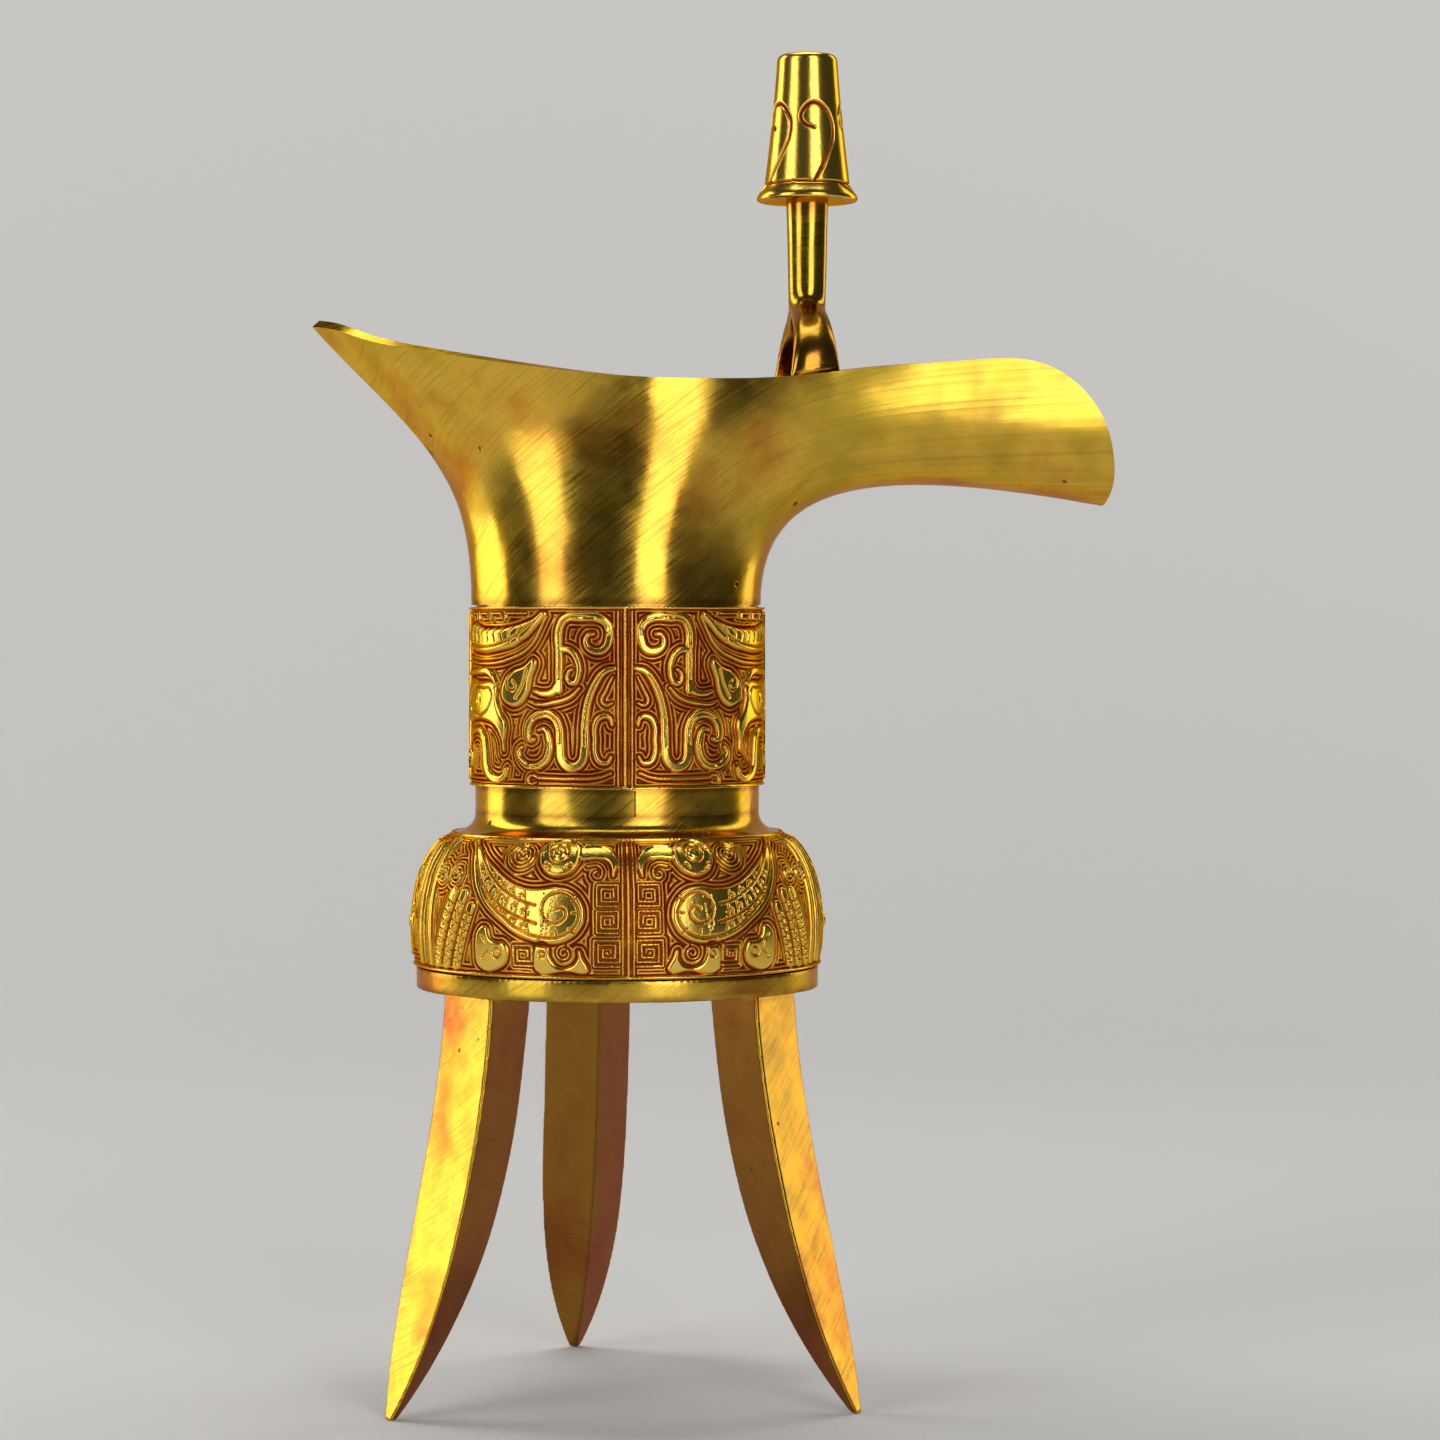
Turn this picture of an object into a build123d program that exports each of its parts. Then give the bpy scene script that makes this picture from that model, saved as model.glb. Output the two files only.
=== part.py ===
from build123d import *
import math
import os

# Gilt bronze jue: a pouring cup with a spout and a tail, on three blade legs.
# Millimetres, +Z up. The origin is on the floor under the cup's axis.
# +X points along the spout, -X along the tail, +Y to the handle at the rear.

# Heights, stacked from the floor
leg_height = 73.5
base_ring_height = 4.0
belly_height = 24.5
shoulder_rise = 3.0
collar_height = 4.5
neck_band_height = 32.5
saddle_rise = 39.2
tail_lift = 10.4
spout_lift = 4.2
spout_depth = 25.4

# Clearance of a brazed seat
braze_gap = 0.05

# Mouth and neck
neck_radius = 25.8
neck_wall = 3.0
rim_wall = 1.7
mouth_half_width = 27.0
tail_reach = 54.5
spout_reach = 88.5
spout_half_width = 14.0
tail_pull = 26.0
spout_pull = 23.0

# Relief belt of the neck and the plain strip collar under it
neck_band_depth = 1.1
belt_seat_depth = 0.4
band_edge_radius = 0.5
band_split = 0.2
collar_inset = 0.3
collar_thickness = 1.2
collar_seam_width = 0.25
collar_seam_angle = -86.0

# Carving of the neck's belt
carving_depth = 0.7
carving_root = 0.2
border_height = 1.2
hook_corner = 1.5
horn_corner = 10.0
mask_ear_length = 10.4
mask_ear_width = 6.0
mask_ear_tilt = 135.0
mask_eye_length = 9.2
mask_eye_width = 4.4
handle_seat_margin = 1.0

# Belly
belly_top_radius = 29.2
belly_full_radius = 38.7
belly_foot_radius = 37.0
belly_wall = 2.2
belly_band_depth = 1.2
belly_band_step = 0.6
belly_crown_radius = 36.3
belly_crown_drop = 2.0
belly_full_height = 11.0
belly_bowl_height = 10.5
belly_bowl_drop = 4.4

# Base
base_ring_radius = 36.2
base_plate_radius = 33.4

# Legs: a flat outer face and an inner ridge, tapering to a blunt tip
leg_azimuths = {"leg_front_left": 210.0, "leg_front_right": 330.0, "leg_rear": 97.0}
leg_top_outer = 31.6
leg_top_inner = 17.9
leg_top_half_width = 8.5
leg_foot_outer = 47.8
leg_foot_inner = 45.6
leg_foot_half_width = 1.3
leg_edge_radius = 0.5
leg_tip_edge_radius = 0.25
leg_outer_bow = 1.5
leg_inner_bow = 3.0
leg_inner_lean = 0.28
leg_taper_bow = 5.0
peg_radius = 3.0
peg_height = 2.6
peg_inset = 5.4

# Post with its forked root, and its cap
post_x = 34.3
post_radius = 3.9
post_waist_radius = 3.4
post_height = 31.8
fork_crown = 15.0
fork_throat = 9.0
fork_knee = 12.0
fork_width = 6.6
fork_thickness = 5.6
fork_foot_width = 10.2
fork_foot_thickness = 3.4
fork_foot_inset = 2.4
fork_foot_flare = 2.5
fork_foot_drop = 1.2
tenon_radius = 2.4
tenon_height = 9.0
cap_height = 26.6
cap_lip_radius = 9.2
cap_waist_radius = 8.1
cap_top_radius = 5.5
cap_side_swell = 0.4
cap_waist_height = 7.25
cap_waist_hollow = 1.0
cap_lip_height = 2.9
cap_lip_edge = 0.5
cap_dish = 1.4
cap_edge_radius = 1.2

# Handle on the far side, with an animal head over its upper root
handle_half_width = 5.0
handle_reach = 48.4
handle_thickness = 5.0
handle_root_height = 22.0
handle_root_depth = 8.0
handle_root_run = 9.0
handle_foot_height = 15.5
handle_foot_rise = 6.0
handle_bend_round = 4.0
handle_palm_round = 2.5
handle_sweep_height = 12.0
handle_sweep_run = 9.0
handle_sweep_rise = 5.0
handle_edge_radius = 1.2
head_length = 16.5
head_height = 8.5
head_half_width = 7.0
ear_reach = 7.2
ear_place_height = 6.0
ear_length = 4.5
ear_radius = 2.2
ear_tip_radius = 0.6
ear_splay = 60.0
eye_radius = 1.9
eye_reach = 10.6
eye_spread = 3.9
eye_height = 6.3
nostril_radius = 0.9
nostril_inset = 0.9
nostril_spread = 1.5
nostril_height = 2.9

# Levels and radii that follow from them
base_z = leg_height
belly_z = base_z + base_ring_height
shoulder_z = belly_z + belly_height
collar_z = shoulder_z + shoulder_rise
band_z = collar_z + collar_height
flare_z = band_z + neck_band_height
saddle_z = flare_z + saddle_rise
spout_top_z = saddle_z + spout_lift
seam_z = collar_z + collar_height / 2
bore_radius = neck_radius - neck_wall
collar_radius = neck_radius - collar_inset
spigot_radius = collar_radius - collar_thickness
belt_seat_radius = neck_radius - belt_seat_depth
neck_band_radius = neck_radius + neck_band_depth
carving_ground = neck_band_radius - carving_depth
handle_root_z = band_z + handle_root_height

# The mouth's ribs, from the tail round the front to the middle of the spout. Each has its angle
# round the neck, its place on the rim, and the pitch and pull with which it meets the rim.
# Tail: shares of the tail's reach, of the mouth's half width and of the tail's lift.
tail_ribs = [
    (0, 1.00, 0.00, 1.00, 48, 24),
    (20, 0.85, 0.30, 0.77, 52, 22),
    (45, 0.61, 0.64, 0.46, 61, 18),
    (69, 0.30, 0.90, 0.20, 73, 14),
    (92, 0.00, 1.00, 0.03, 84, 12),
]
# Spout's upper edge: shares of its reach, of the narrowing that is left, and of its lift.
# The last share swells the trough's side between the neck and the rim.
spout_ribs = [
    (113, 0.20, 0.79, 0.03, 84, 14, 1.00),
    (129, 0.35, 0.37, 0.24, 72, 18, 1.00),
    (141, 0.51, 0.12, 0.67, 55, 23, 1.01),
    (152, 0.70, 0.00, 1.00, 38, 29, 1.04),
    (160.5, 0.87, -0.03, 0.70, 21, 38, 1.12),
]
# Spout's end: shares of its reach, of its half width, and of its depth above the lowest point.
lip_ribs = [
    (169, 0.985, 0.92, 0.49, 2, 42, 1.18),
    (173, 1.000, 0.76, 0.22, -6, 42, 1.16),
    (176.5, 0.998, 0.43, 0.06, -9, 42, 1.14),
    (180, 0.995, 0.00, 0.00, -10, 42, 1.00),
]
rib_point_count = 6
mirrored_rib_count = 4
leg_steps = [0.0, 0.2, 0.4, 0.56, 0.7, 0.82, 0.92, 1.0]
fork_steps = [0.0, 0.25, 0.5, 0.75, 0.9, 1.0]

# The handle's head from the neck to the snout: shares of its length, its half width and its height,
# and the share of the height that rounds its edges.
head_sections = [
    (0.00, 0.88, 0.92, 0.30),
    (0.42, 1.00, 1.00, 0.38),
    (0.66, 0.84, 0.80, 0.42),
    (0.88, 0.66, 0.60, 0.44),
    (1.00, 0.50, 0.46, 0.45),
]

# The carving of one quarter of the neck's belt: straps by their width and their points, each in
# degrees round from the front ridge and in shares of the belt's height. Each group is carved
# square to the belt at its own middle.
hook_middle = 23.0
front_ridge = [(0, 0.04), (0, 0.96)]
upper_hook = [
    (36.6, 0.53), (25.6, 0.53), (25.6, 0.93), (6.2, 0.93), (6.2, 0.75), (14.7, 0.75), (14.7, 0.83),
]
lower_hook = [
    (4, 0.65), (10.7, 0.62), (15.3, 0.40), (15.3, 0.13), (25.4, 0.13), (25.4, 0.41), (39.2, 0.41),
    (39.2, 0.28),
]
curled_hook = [(34.8, 0.32), (30.2, 0.32), (30.2, 0.135), (43.5, 0.135), (43.5, 0.23)]
small_hook = [(5.1, 0.40), (10.9, 0.40), (10.9, 0.155), (5.5, 0.155)]
hooks = [
    (1.0, front_ridge),
    (1.9, upper_hook),
    (1.9, lower_hook),
    (1.5, curled_hook),
    (1.2, small_hook),
]
mask_middle = 62.0
mask_brow = [(84, 0.635), (59.6, 0.635), (56.6, 0.565)]
mask_jaw = [(81.8, 0.315), (65.6, 0.315), (64.3, 0.09), (51.5, 0.09)]
mask_nose = [(90, 0.07), (90, 0.93)]
mask_straps = [
    (1.5, mask_brow),
    (1.8, mask_jaw),
    (3.0, mask_nose),
]
mask_horn = (3.4, [(82, 0.82), (51, 0.81), (33.5, 0.935)])
mask_ear_place = (44.7, 0.57)
mask_eye_place = (71.3, 0.48)


def rim_places():
    """The mouth's ribs as (angle, rim point, heading in plan, pitch, pull, swell)."""
    places = []
    for angle, along, across, lift, pitch, pull in tail_ribs:
        point = Vector(-tail_reach * along, -mouth_half_width * across, saddle_z + tail_lift * lift)
        heading = Vector(point.X, point.Y, 0).normalized()
        places.append((angle, point, heading, pitch, pull, 1.0))
    for angle, along, left, lift, pitch, pull, swell in spout_ribs:
        half = spout_half_width + (mouth_half_width - spout_half_width) * left
        point = Vector(spout_reach * along, -half, saddle_z + spout_lift * lift)
        places.append((angle, point, Vector(1, 0, 0), pitch, pull, swell))
    for angle, along, across, rise, pitch, pull, swell in lip_ribs:
        height = spout_top_z - spout_depth * (1 - rise)
        point = Vector(spout_reach * along, -spout_half_width * across, height)
        places.append((angle, point, Vector(1, 0, 0), pitch, pull, swell))
    return places


def rim_at(x):
    """Half width and height of the rim's outer edge at a place along the spout."""
    points = [place[1] for place in rim_places()]
    for near, far in zip(points, points[1:]):
        if near.X <= x <= far.X:
            share = (x - near.X) / (far.X - near.X)
            point = near + (far - near) * share
            return -point.Y, point.Z
    raise ValueError("the post stands beyond the rim")


def rib_controls(place):
    """The four control points of a rib, from the neck's top to the rim."""
    angle, rim, heading, pitch, pull, swell = place
    turn = math.radians(angle)
    start = Vector(-neck_radius * math.cos(turn), -neck_radius * math.sin(turn), flare_z)
    rise = tail_pull + (spout_pull - tail_pull) * angle / 180
    slope = math.radians(pitch)
    arrive = heading * math.cos(slope) + Vector(0, 0, math.sin(slope))
    before = rim - arrive * pull
    return [start, start + Vector(0, 0, rise), Vector(before.X, before.Y * swell, before.Z), rim]


def on_rib(controls, t):
    """A rib's point at parameter t."""
    s = 1 - t
    a, b, c, d = controls
    return a * s**3 + b * (3 * s * s * t) + c * (3 * s * t * t) + d * t**3


def along_rib(controls, t):
    """A rib's direction at parameter t."""
    s = 1 - t
    a, b, c, d = controls
    return (b - a) * (s * s) + (c - b) * (2 * s * t) + (d - c) * (t * t)


def inner_rib(ribs, index):
    """Points of the inner face along one rib: the outer ones moved in by the wall."""
    points = []
    for step in range(rib_point_count + 1):
        t = step / rib_point_count
        if index == 0:
            across = Vector(0, -1, 0)
        else:
            across = on_rib(ribs[index + 1], t) - on_rib(ribs[index - 1], t)
        inward = along_rib(ribs[index], t).cross(across).normalized()
        wall = neck_wall + (rim_wall - neck_wall) * t
        points.append(on_rib(ribs[index], t) + inward * wall)
    return points


def wall_section(ribs, index):
    """The closed section of the cup's wall along one rib, from the neck's seam to the rim."""
    outer = ribs[index]
    inner = inner_rib(ribs, index)
    foot_out = Vector(outer[0].X, outer[0].Y, seam_z)
    foot_in = Vector(inner[0].X, inner[0].Y, seam_z)
    edges = [
        Edge.make_line(foot_out, outer[0]),
        Edge.make_bezier(*outer),
        Edge.make_line(outer[-1], inner[-1]),
        Edge.make_spline(list(reversed(inner))),
        Edge.make_line(inner[0], foot_in),
        Edge.make_line(foot_in, foot_out),
    ]
    return Wire(edges)


def ring(inner, outer, low, high):
    """A plain ring about the axis."""
    return Pos(0, 0, low) * extrude(Circle(outer) - Circle(inner), high - low)


def turned(profile, arc=360.0, start=0.0):
    """A solid turned about the axis from a profile of radius and height."""
    return Rot(0, 0, start) * revolve(Plane.XZ * profile, Axis.Z, arc)


def half_belt(profile, rear):
    """One half of a relief belt, short of the other half by the split at each end."""
    belt = turned(profile, 180.0, 0.0 if rear else 180.0)
    slit = Box(4 * belly_full_radius, band_split, 4 * flare_z)
    return belt - slit


def make_mouth_shell():
    """Flared mouth with spout and tail, lofted in halves, with the neck's stepped foot.

    The loft runs on past the middle of the spout, so that the halves meet smoothly there.
    """
    ribs = [rib_controls(place) for place in rim_places()]
    beyond = list(reversed(ribs[-1 - mirrored_rib_count : -1]))
    for controls in beyond:
        ribs.append([Vector(point.X, -point.Y, point.Z) for point in controls])
    lofted = Solid.make_loft([wall_section(ribs, i) for i in range(len(ribs) - 1)])
    half = split(lofted, Plane.XZ, Keep.TOP)
    shell = half + mirror(half, Plane.XZ)
    step = ring(spigot_radius, neck_radius + neck_wall, seam_z, band_z)
    belt_seat = ring(belt_seat_radius, neck_radius + neck_wall, band_z, flare_z)
    return shell - step - belt_seat


def on_belt(place, middle):
    """A place of the neck's carving on the flat face square to the belt at the middle."""
    angle, share = place
    return (neck_band_radius * math.sin(math.radians(angle - middle)), neck_band_height * share)


def carved_strap(width, points, corner, middle):
    """A carved strap of even width with rounded turns and ends."""
    places = [on_belt(point, middle) for point in points]
    path = FilletPolyline(*places, radius=corner) if len(places) > 2 else Line(*places)
    return make_face(offset(path, width / 2, kind=Kind.ARC, side=Side.BOTH))


def carved_towards(middle, shapes):
    """Flat shapes carried out to the belt's face, square to it at the middle."""
    azimuth = math.radians(middle - 90)
    outward = Vector(math.cos(azimuth), math.sin(azimuth), 0)
    plane = Plane(origin=(0, 0, band_z), x_dir=Vector(0, 0, 1).cross(outward), z_dir=outward)
    return [extrude(plane * shape, neck_band_radius) for shape in shapes]


def quarter_carving():
    """The hooks, the horn, the ear, the eye and the jaw of the front quarter towards the spout."""
    hook_shapes = [carved_strap(*hook, hook_corner, hook_middle) for hook in hooks]
    mask_shapes = [carved_strap(*bar, hook_corner, mask_middle) for bar in mask_straps]
    mask_shapes.append(carved_strap(*mask_horn, horn_corner, mask_middle))
    ear = Ellipse(mask_ear_length / 2, mask_ear_width / 2, rotation=mask_ear_tilt)
    eye = Ellipse(mask_eye_length / 2, mask_eye_width / 2)
    mask_shapes.append(Pos(*on_belt(mask_ear_place, mask_middle)) * ear)
    mask_shapes.append(Pos(*on_belt(mask_eye_place, mask_middle)) * eye)
    return carved_towards(hook_middle, hook_shapes) + carved_towards(mask_middle, mask_shapes)


def handle_seat():
    """The plain patch of the rear belt on which the handle's root and its head are brazed."""
    low = handle_root_z - handle_root_depth - handle_seat_margin
    width = 2 * (head_half_width + handle_seat_margin)
    return Pos(0, neck_band_radius / 2, (low + flare_z) / 2) * Box(width, neck_band_radius, flare_z - low)


def make_neck_band(rear):
    """Half of the belt round the neck: borders, a sunk ground and the carving that stands on it."""
    inner = belt_seat_radius + braze_gap
    low_border = band_z + border_height
    high_border = flare_z - border_height
    corners = [
        (inner, band_z),
        (neck_band_radius, band_z),
        (neck_band_radius, low_border),
        (carving_ground, low_border),
        (carving_ground, high_border),
        (neck_band_radius, high_border),
        (neck_band_radius, flare_z),
        (inner, flare_z),
    ]
    profile = make_face(Polyline(*corners, close=True))
    face_corners = profile.vertices().group_by(Axis.X)[-1].sort_by(Axis.Y)
    belt = half_belt(fillet([face_corners[0], face_corners[-1]], band_edge_radius), rear)
    skin_middle = neck_band_radius - (carving_depth + carving_root) / 2
    skin_profile = Rectangle(carving_depth + carving_root, high_border - low_border)
    skin = half_belt(Pos(skin_middle, (low_border + high_border) / 2) * skin_profile, rear)
    carving = quarter_carving()
    carving += [mirror(shape, Plane.YZ) for shape in carving]
    if rear:
        carving = [mirror(shape, Plane.XZ) for shape in carving] + [handle_seat()]
    return belt + [shape & skin for shape in carving]


def make_neck_collar():
    """Plain strip collar over the neck's seam, with its butt seam near the front."""
    collar = ring(spigot_radius + braze_gap, collar_radius, collar_z, band_z)
    seam = Box(4 * collar_thickness, collar_seam_width, 2 * collar_height)
    return collar - Rot(0, 0, collar_seam_angle) * Pos(collar_radius, 0, seam_z) * seam


def belly_curve(inset):
    """The belly's profile from its top to its foot, set in from the face of its belt."""
    slant = inset / math.sqrt(2)
    return Bezier(
        (belly_top_radius, shoulder_z - inset),
        (belly_crown_radius - slant, shoulder_z - belly_crown_drop - slant),
        (belly_full_radius - inset, belly_z + belly_full_height),
        (belly_foot_radius - inset, belly_z),
    )


def make_belly_shell():
    """Shoulder and belly wall, with the neck's stub and the seat of the relief belt."""
    seat = belly_curve(belly_band_depth + braze_gap)
    top = seat @ 0
    foot = seat @ 1
    edge = belly_top_radius - braze_gap
    inner_foot = foot.X - belly_wall
    inner_top = shoulder_z - belly_wall / 4
    outline = [
        Line((spigot_radius, seam_z), (spigot_radius, collar_z)),
        Line((spigot_radius, collar_z), (collar_radius, collar_z)),
        Bezier((collar_radius, collar_z), (collar_radius, shoulder_z), (edge, shoulder_z - belly_band_step)),
        Line((edge, shoulder_z - belly_band_step), (edge, top.Y)),
        Line((edge, top.Y), (top.X, top.Y)),
        seat,
        Line((foot.X, foot.Y), (inner_foot, belly_z)),
        Bezier(
            (inner_foot, belly_z),
            (inner_foot + belly_wall, belly_z + belly_bowl_height),
            (inner_foot, shoulder_z - belly_bowl_drop),
            (bore_radius, inner_top),
        ),
        Line((bore_radius, inner_top), (bore_radius, seam_z)),
        Line((bore_radius, seam_z), (spigot_radius, seam_z)),
    ]
    return turned(make_face(outline))


def make_belly_band(rear):
    """Half of the relief belt that clothes the belly."""
    face = belly_curve(0)
    back = belly_curve(belly_band_depth)
    outline = [
        face,
        Line(face @ 1, back @ 1),
        back,
        Line(back @ 0, face @ 0),
    ]
    profile = make_face(outline)
    top_corner = profile.vertices().sort_by(Axis.Y)[-1]
    return half_belt(fillet(top_corner, band_edge_radius), rear)


def make_base_ring():
    """Plain hoop that the belly stands on."""
    return ring(base_plate_radius + braze_gap, base_ring_radius, base_z, belly_z)


def on_azimuth(azimuth, solid):
    """A solid modelled along +X, turned to its place round the axis."""
    return Rot(0, 0, azimuth) * solid


def make_base_plate():
    """Round floor of the cup, with a blind socket for each leg's peg."""
    plate = Pos(0, 0, base_z) * extrude(Circle(base_plate_radius), base_ring_height)
    socket = Pos(leg_top_outer - peg_inset, 0, base_z) * extrude(
        Circle(peg_radius + braze_gap), peg_height + braze_gap
    )
    for azimuth in leg_azimuths.values():
        plate -= on_azimuth(azimuth, socket)
    return plate


def leg_section(drop):
    """A leg's three-sided section at a share of its height below the base."""
    sabre = leg_inner_lean * drop + (1 - leg_inner_lean) * drop**leg_inner_bow
    outer = leg_top_outer + (leg_foot_outer - leg_top_outer) * drop**leg_outer_bow
    inner = leg_top_inner + (leg_foot_inner - leg_top_inner) * sabre
    half = leg_top_half_width + (leg_foot_half_width - leg_top_half_width) * drop**leg_taper_bow
    corners = [(outer, -half), (outer, half), (inner, 0)]
    face = make_face(Polyline(*corners, close=True))
    soft = leg_edge_radius + (leg_tip_edge_radius - leg_edge_radius) * drop
    return Pos(0, 0, leg_height * (1 - drop)) * fillet(face.vertices(), soft)


def make_leg(azimuth):
    """Sabre-curved leg with its peg."""
    blade = loft([leg_section(drop) for drop in leg_steps])
    peg = Pos(leg_top_outer - peg_inset, 0, leg_height) * extrude(Circle(peg_radius), peg_height)
    return on_azimuth(azimuth, blade + peg)


def make_fork_leg():
    """One leg of the post's fork: an oval bar that bends out from the stem and flares on to the rim."""
    half, rim_z = rim_at(post_x)
    middle = half - fork_foot_inset
    path = Plane.YZ * Bezier(
        (0, rim_z + fork_crown),
        (0, rim_z + fork_throat),
        (middle, rim_z + fork_knee),
        (middle, rim_z - fork_foot_drop),
    )
    before = rim_at(post_x - fork_foot_width / 2)[0]
    after = rim_at(post_x + fork_foot_width / 2)[0]
    narrowing = (after - before) / fork_foot_width
    sections = []
    for step in fork_steps:
        width = fork_width + (fork_foot_width - fork_width) * step**fork_foot_flare
        thickness = fork_thickness + (fork_foot_thickness - fork_thickness) * step
        plane = Plane(origin=path @ step, x_dir=(1, narrowing * step, 0), z_dir=path % step)
        sections.append(plane * Ellipse(width / 2, thickness / 2))
    return Pos(post_x, 0, 0) * loft(sections)


def make_post(mouth_shell):
    """Round stem on a fork that bridges the mouth, cut to sit on both rims."""
    rim_z = rim_at(post_x)[1]
    stem_z = rim_z + fork_crown - fork_thickness / 2
    tenon_z = rim_z + post_height + cap_dish
    stem_height = tenon_z - stem_z
    stem = Cone(post_waist_radius, post_radius, stem_height, align=(Align.CENTER, Align.CENTER, Align.MIN))
    tenon = Pos(post_x, 0, tenon_z) * extrude(Circle(tenon_radius), tenon_height)
    leg = make_fork_leg()
    fork = leg + mirror(leg, Plane.XZ) - mouth_shell
    return fork + Pos(post_x, 0, stem_z) * stem + tenon


def make_post_cap():
    """Tall hat with a flared lip, a dished underside and a blind socket for the stem's tenon."""
    rim_z = rim_at(post_x)[1]
    socket = tenon_radius + braze_gap
    shoulder = cap_height - cap_edge_radius
    crown_radius = cap_top_radius - cap_edge_radius
    side = Bezier(
        (cap_top_radius, shoulder),
        (cap_top_radius + cap_side_swell, cap_height / 2),
        (cap_waist_radius - cap_waist_hollow, cap_waist_height),
        (cap_waist_radius, cap_lip_height),
    )
    outline = [
        Line((0, cap_height), (crown_radius, cap_height)),
        RadiusArc((crown_radius, cap_height), (cap_top_radius, shoulder), cap_edge_radius),
        side,
        Line((cap_waist_radius, cap_lip_height), (cap_lip_radius, cap_lip_edge)),
        Line((cap_lip_radius, cap_lip_edge), (cap_lip_radius - cap_lip_edge, 0)),
        Line((cap_lip_radius - cap_lip_edge, 0), (post_radius + cap_dish, cap_dish)),
        Line((post_radius + cap_dish, cap_dish), (socket, cap_dish)),
        Line((socket, cap_dish), (socket, cap_dish + tenon_height + braze_gap)),
        Line((socket, cap_dish + tenon_height + braze_gap), (0, cap_dish + tenon_height + braze_gap)),
        Line((0, cap_dish + tenon_height + braze_gap), (0, cap_height)),
    ]
    return Pos(post_x, 0, rim_z + post_height) * turned(make_face(outline))


def handle_clearance():
    """The space of the neck's belt and of the belly, with a brazed seat's clearance."""
    neck = Pos(0, 0, shoulder_z) * extrude(Circle(neck_band_radius + braze_gap), flare_z - shoulder_z)
    face = belly_curve(-braze_gap)
    outline = [
        face,
        Line(face @ 1, (0, belly_z)),
        Line((0, belly_z), (0, shoulder_z + braze_gap)),
        Line((0, shoulder_z + braze_gap), face @ 0),
    ]
    return neck + turned(make_face(outline))


def make_handle_strap():
    """Strap handle from the neck's belt down to the belly."""
    top = handle_root_z
    under = top - handle_root_depth
    foot = belly_z + handle_foot_height
    heel = foot + handle_foot_rise
    start = neck_radius
    bend = neck_band_radius + handle_root_run
    end = belly_top_radius + handle_thickness
    reach = handle_reach
    palm = handle_reach - handle_thickness
    middle = (top + heel) / 2
    outer_bend = Bezier(
        (bend, top), (reach - handle_bend_round, top), (reach, top - handle_bend_round), (reach, middle)
    )
    outer_sweep = Bezier(
        (reach, middle),
        (reach, foot + handle_sweep_height),
        (end + handle_sweep_run, foot + handle_sweep_rise),
        (end, foot),
    )
    inner_sweep = Bezier(
        (end, heel),
        (end + handle_sweep_run / 2, heel + handle_sweep_rise / 2),
        (palm, heel + handle_sweep_rise),
        (palm, middle),
    )
    inner_bend = Bezier(
        (palm, middle), (palm, under - handle_palm_round), (palm - handle_palm_round, under), (bend, under)
    )
    lines = [
        Line((start, top), (bend, top)),
        Line((end, foot), (end, heel)),
        Line((bend, under), (start, under)),
        Line((start, under), (start, top)),
    ]
    outline = make_face([outer_bend, outer_sweep, inner_sweep, inner_bend, *lines])
    strap = extrude(Plane.YZ * outline, handle_half_width, both=True)
    rims = strap.edges().filter_by(GeomType.BEZIER) + strap.edges().filter_by(GeomType.BSPLINE)
    strap = fillet(rims, handle_edge_radius)
    return strap - handle_clearance()


def make_handle_head():
    """Animal head over the handle's upper root: brow, snout, ears, eye bosses and nostrils."""
    faces = []
    for along, across, rise, roundness in head_sections:
        height = head_height * rise
        outline = RectangleRounded(2 * head_half_width * across, height, height * roundness)
        plane = Plane(origin=(0, neck_radius + head_length * along, 0), x_dir=(-1, 0, 0), z_dir=(0, 1, 0))
        faces.append(plane * Pos(0, handle_root_z + height / 2) * outline)
    head = loft(faces)
    nostril_reach = head_length - nostril_inset
    root = Pos(0, neck_radius, handle_root_z)
    for side in (-1, 1):
        ear = Rot(0, side * ear_splay, 0) * Cone(ear_radius, ear_tip_radius, ear_length)
        head += root * Pos(side * head_half_width, ear_reach, ear_place_height) * ear
        head += root * Pos(side * eye_spread, eye_reach, eye_height) * Sphere(eye_radius)
        head += root * Pos(side * nostril_spread, nostril_reach, nostril_height) * Sphere(nostril_radius)
    return head - handle_clearance()


def make_nodes():
    """Every piece of the vessel by its node name."""
    mouth_shell = make_mouth_shell()
    nodes = {
        "mouth_shell": mouth_shell,
        "neck_band_front": make_neck_band(rear=False),
        "neck_band_rear": make_neck_band(rear=True),
        "neck_collar": make_neck_collar(),
        "belly_shell": make_belly_shell(),
        "belly_band_front": make_belly_band(rear=False),
        "belly_band_rear": make_belly_band(rear=True),
        "base_ring": make_base_ring(),
        "base_plate": make_base_plate(),
        "post": make_post(mouth_shell),
        "post_cap": make_post_cap(),
        "handle_strap": make_handle_strap(),
        "handle_head": make_handle_head(),
    }
    for name, azimuth in leg_azimuths.items():
        nodes[name] = make_leg(azimuth)
    return nodes


os.makedirs("parts", exist_ok=True)
for node_name, piece in make_nodes().items():
    export_step(piece, f"parts/{node_name}.step")
    box = piece.bounding_box()
    print(f"{node_name}: {piece.volume:.0f} mm3, {len(piece.solids())} solid, {box.min} {box.max}")
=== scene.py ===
"""Gilt bronze jue: the finish of every surface, its relief belts and its studio."""

import logging
import math
from dataclasses import dataclass
from enum import Enum
from typing import Any, Iterable, Sequence

import bmesh
import bpy
import numpy as np
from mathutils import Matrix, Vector, noise


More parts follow.
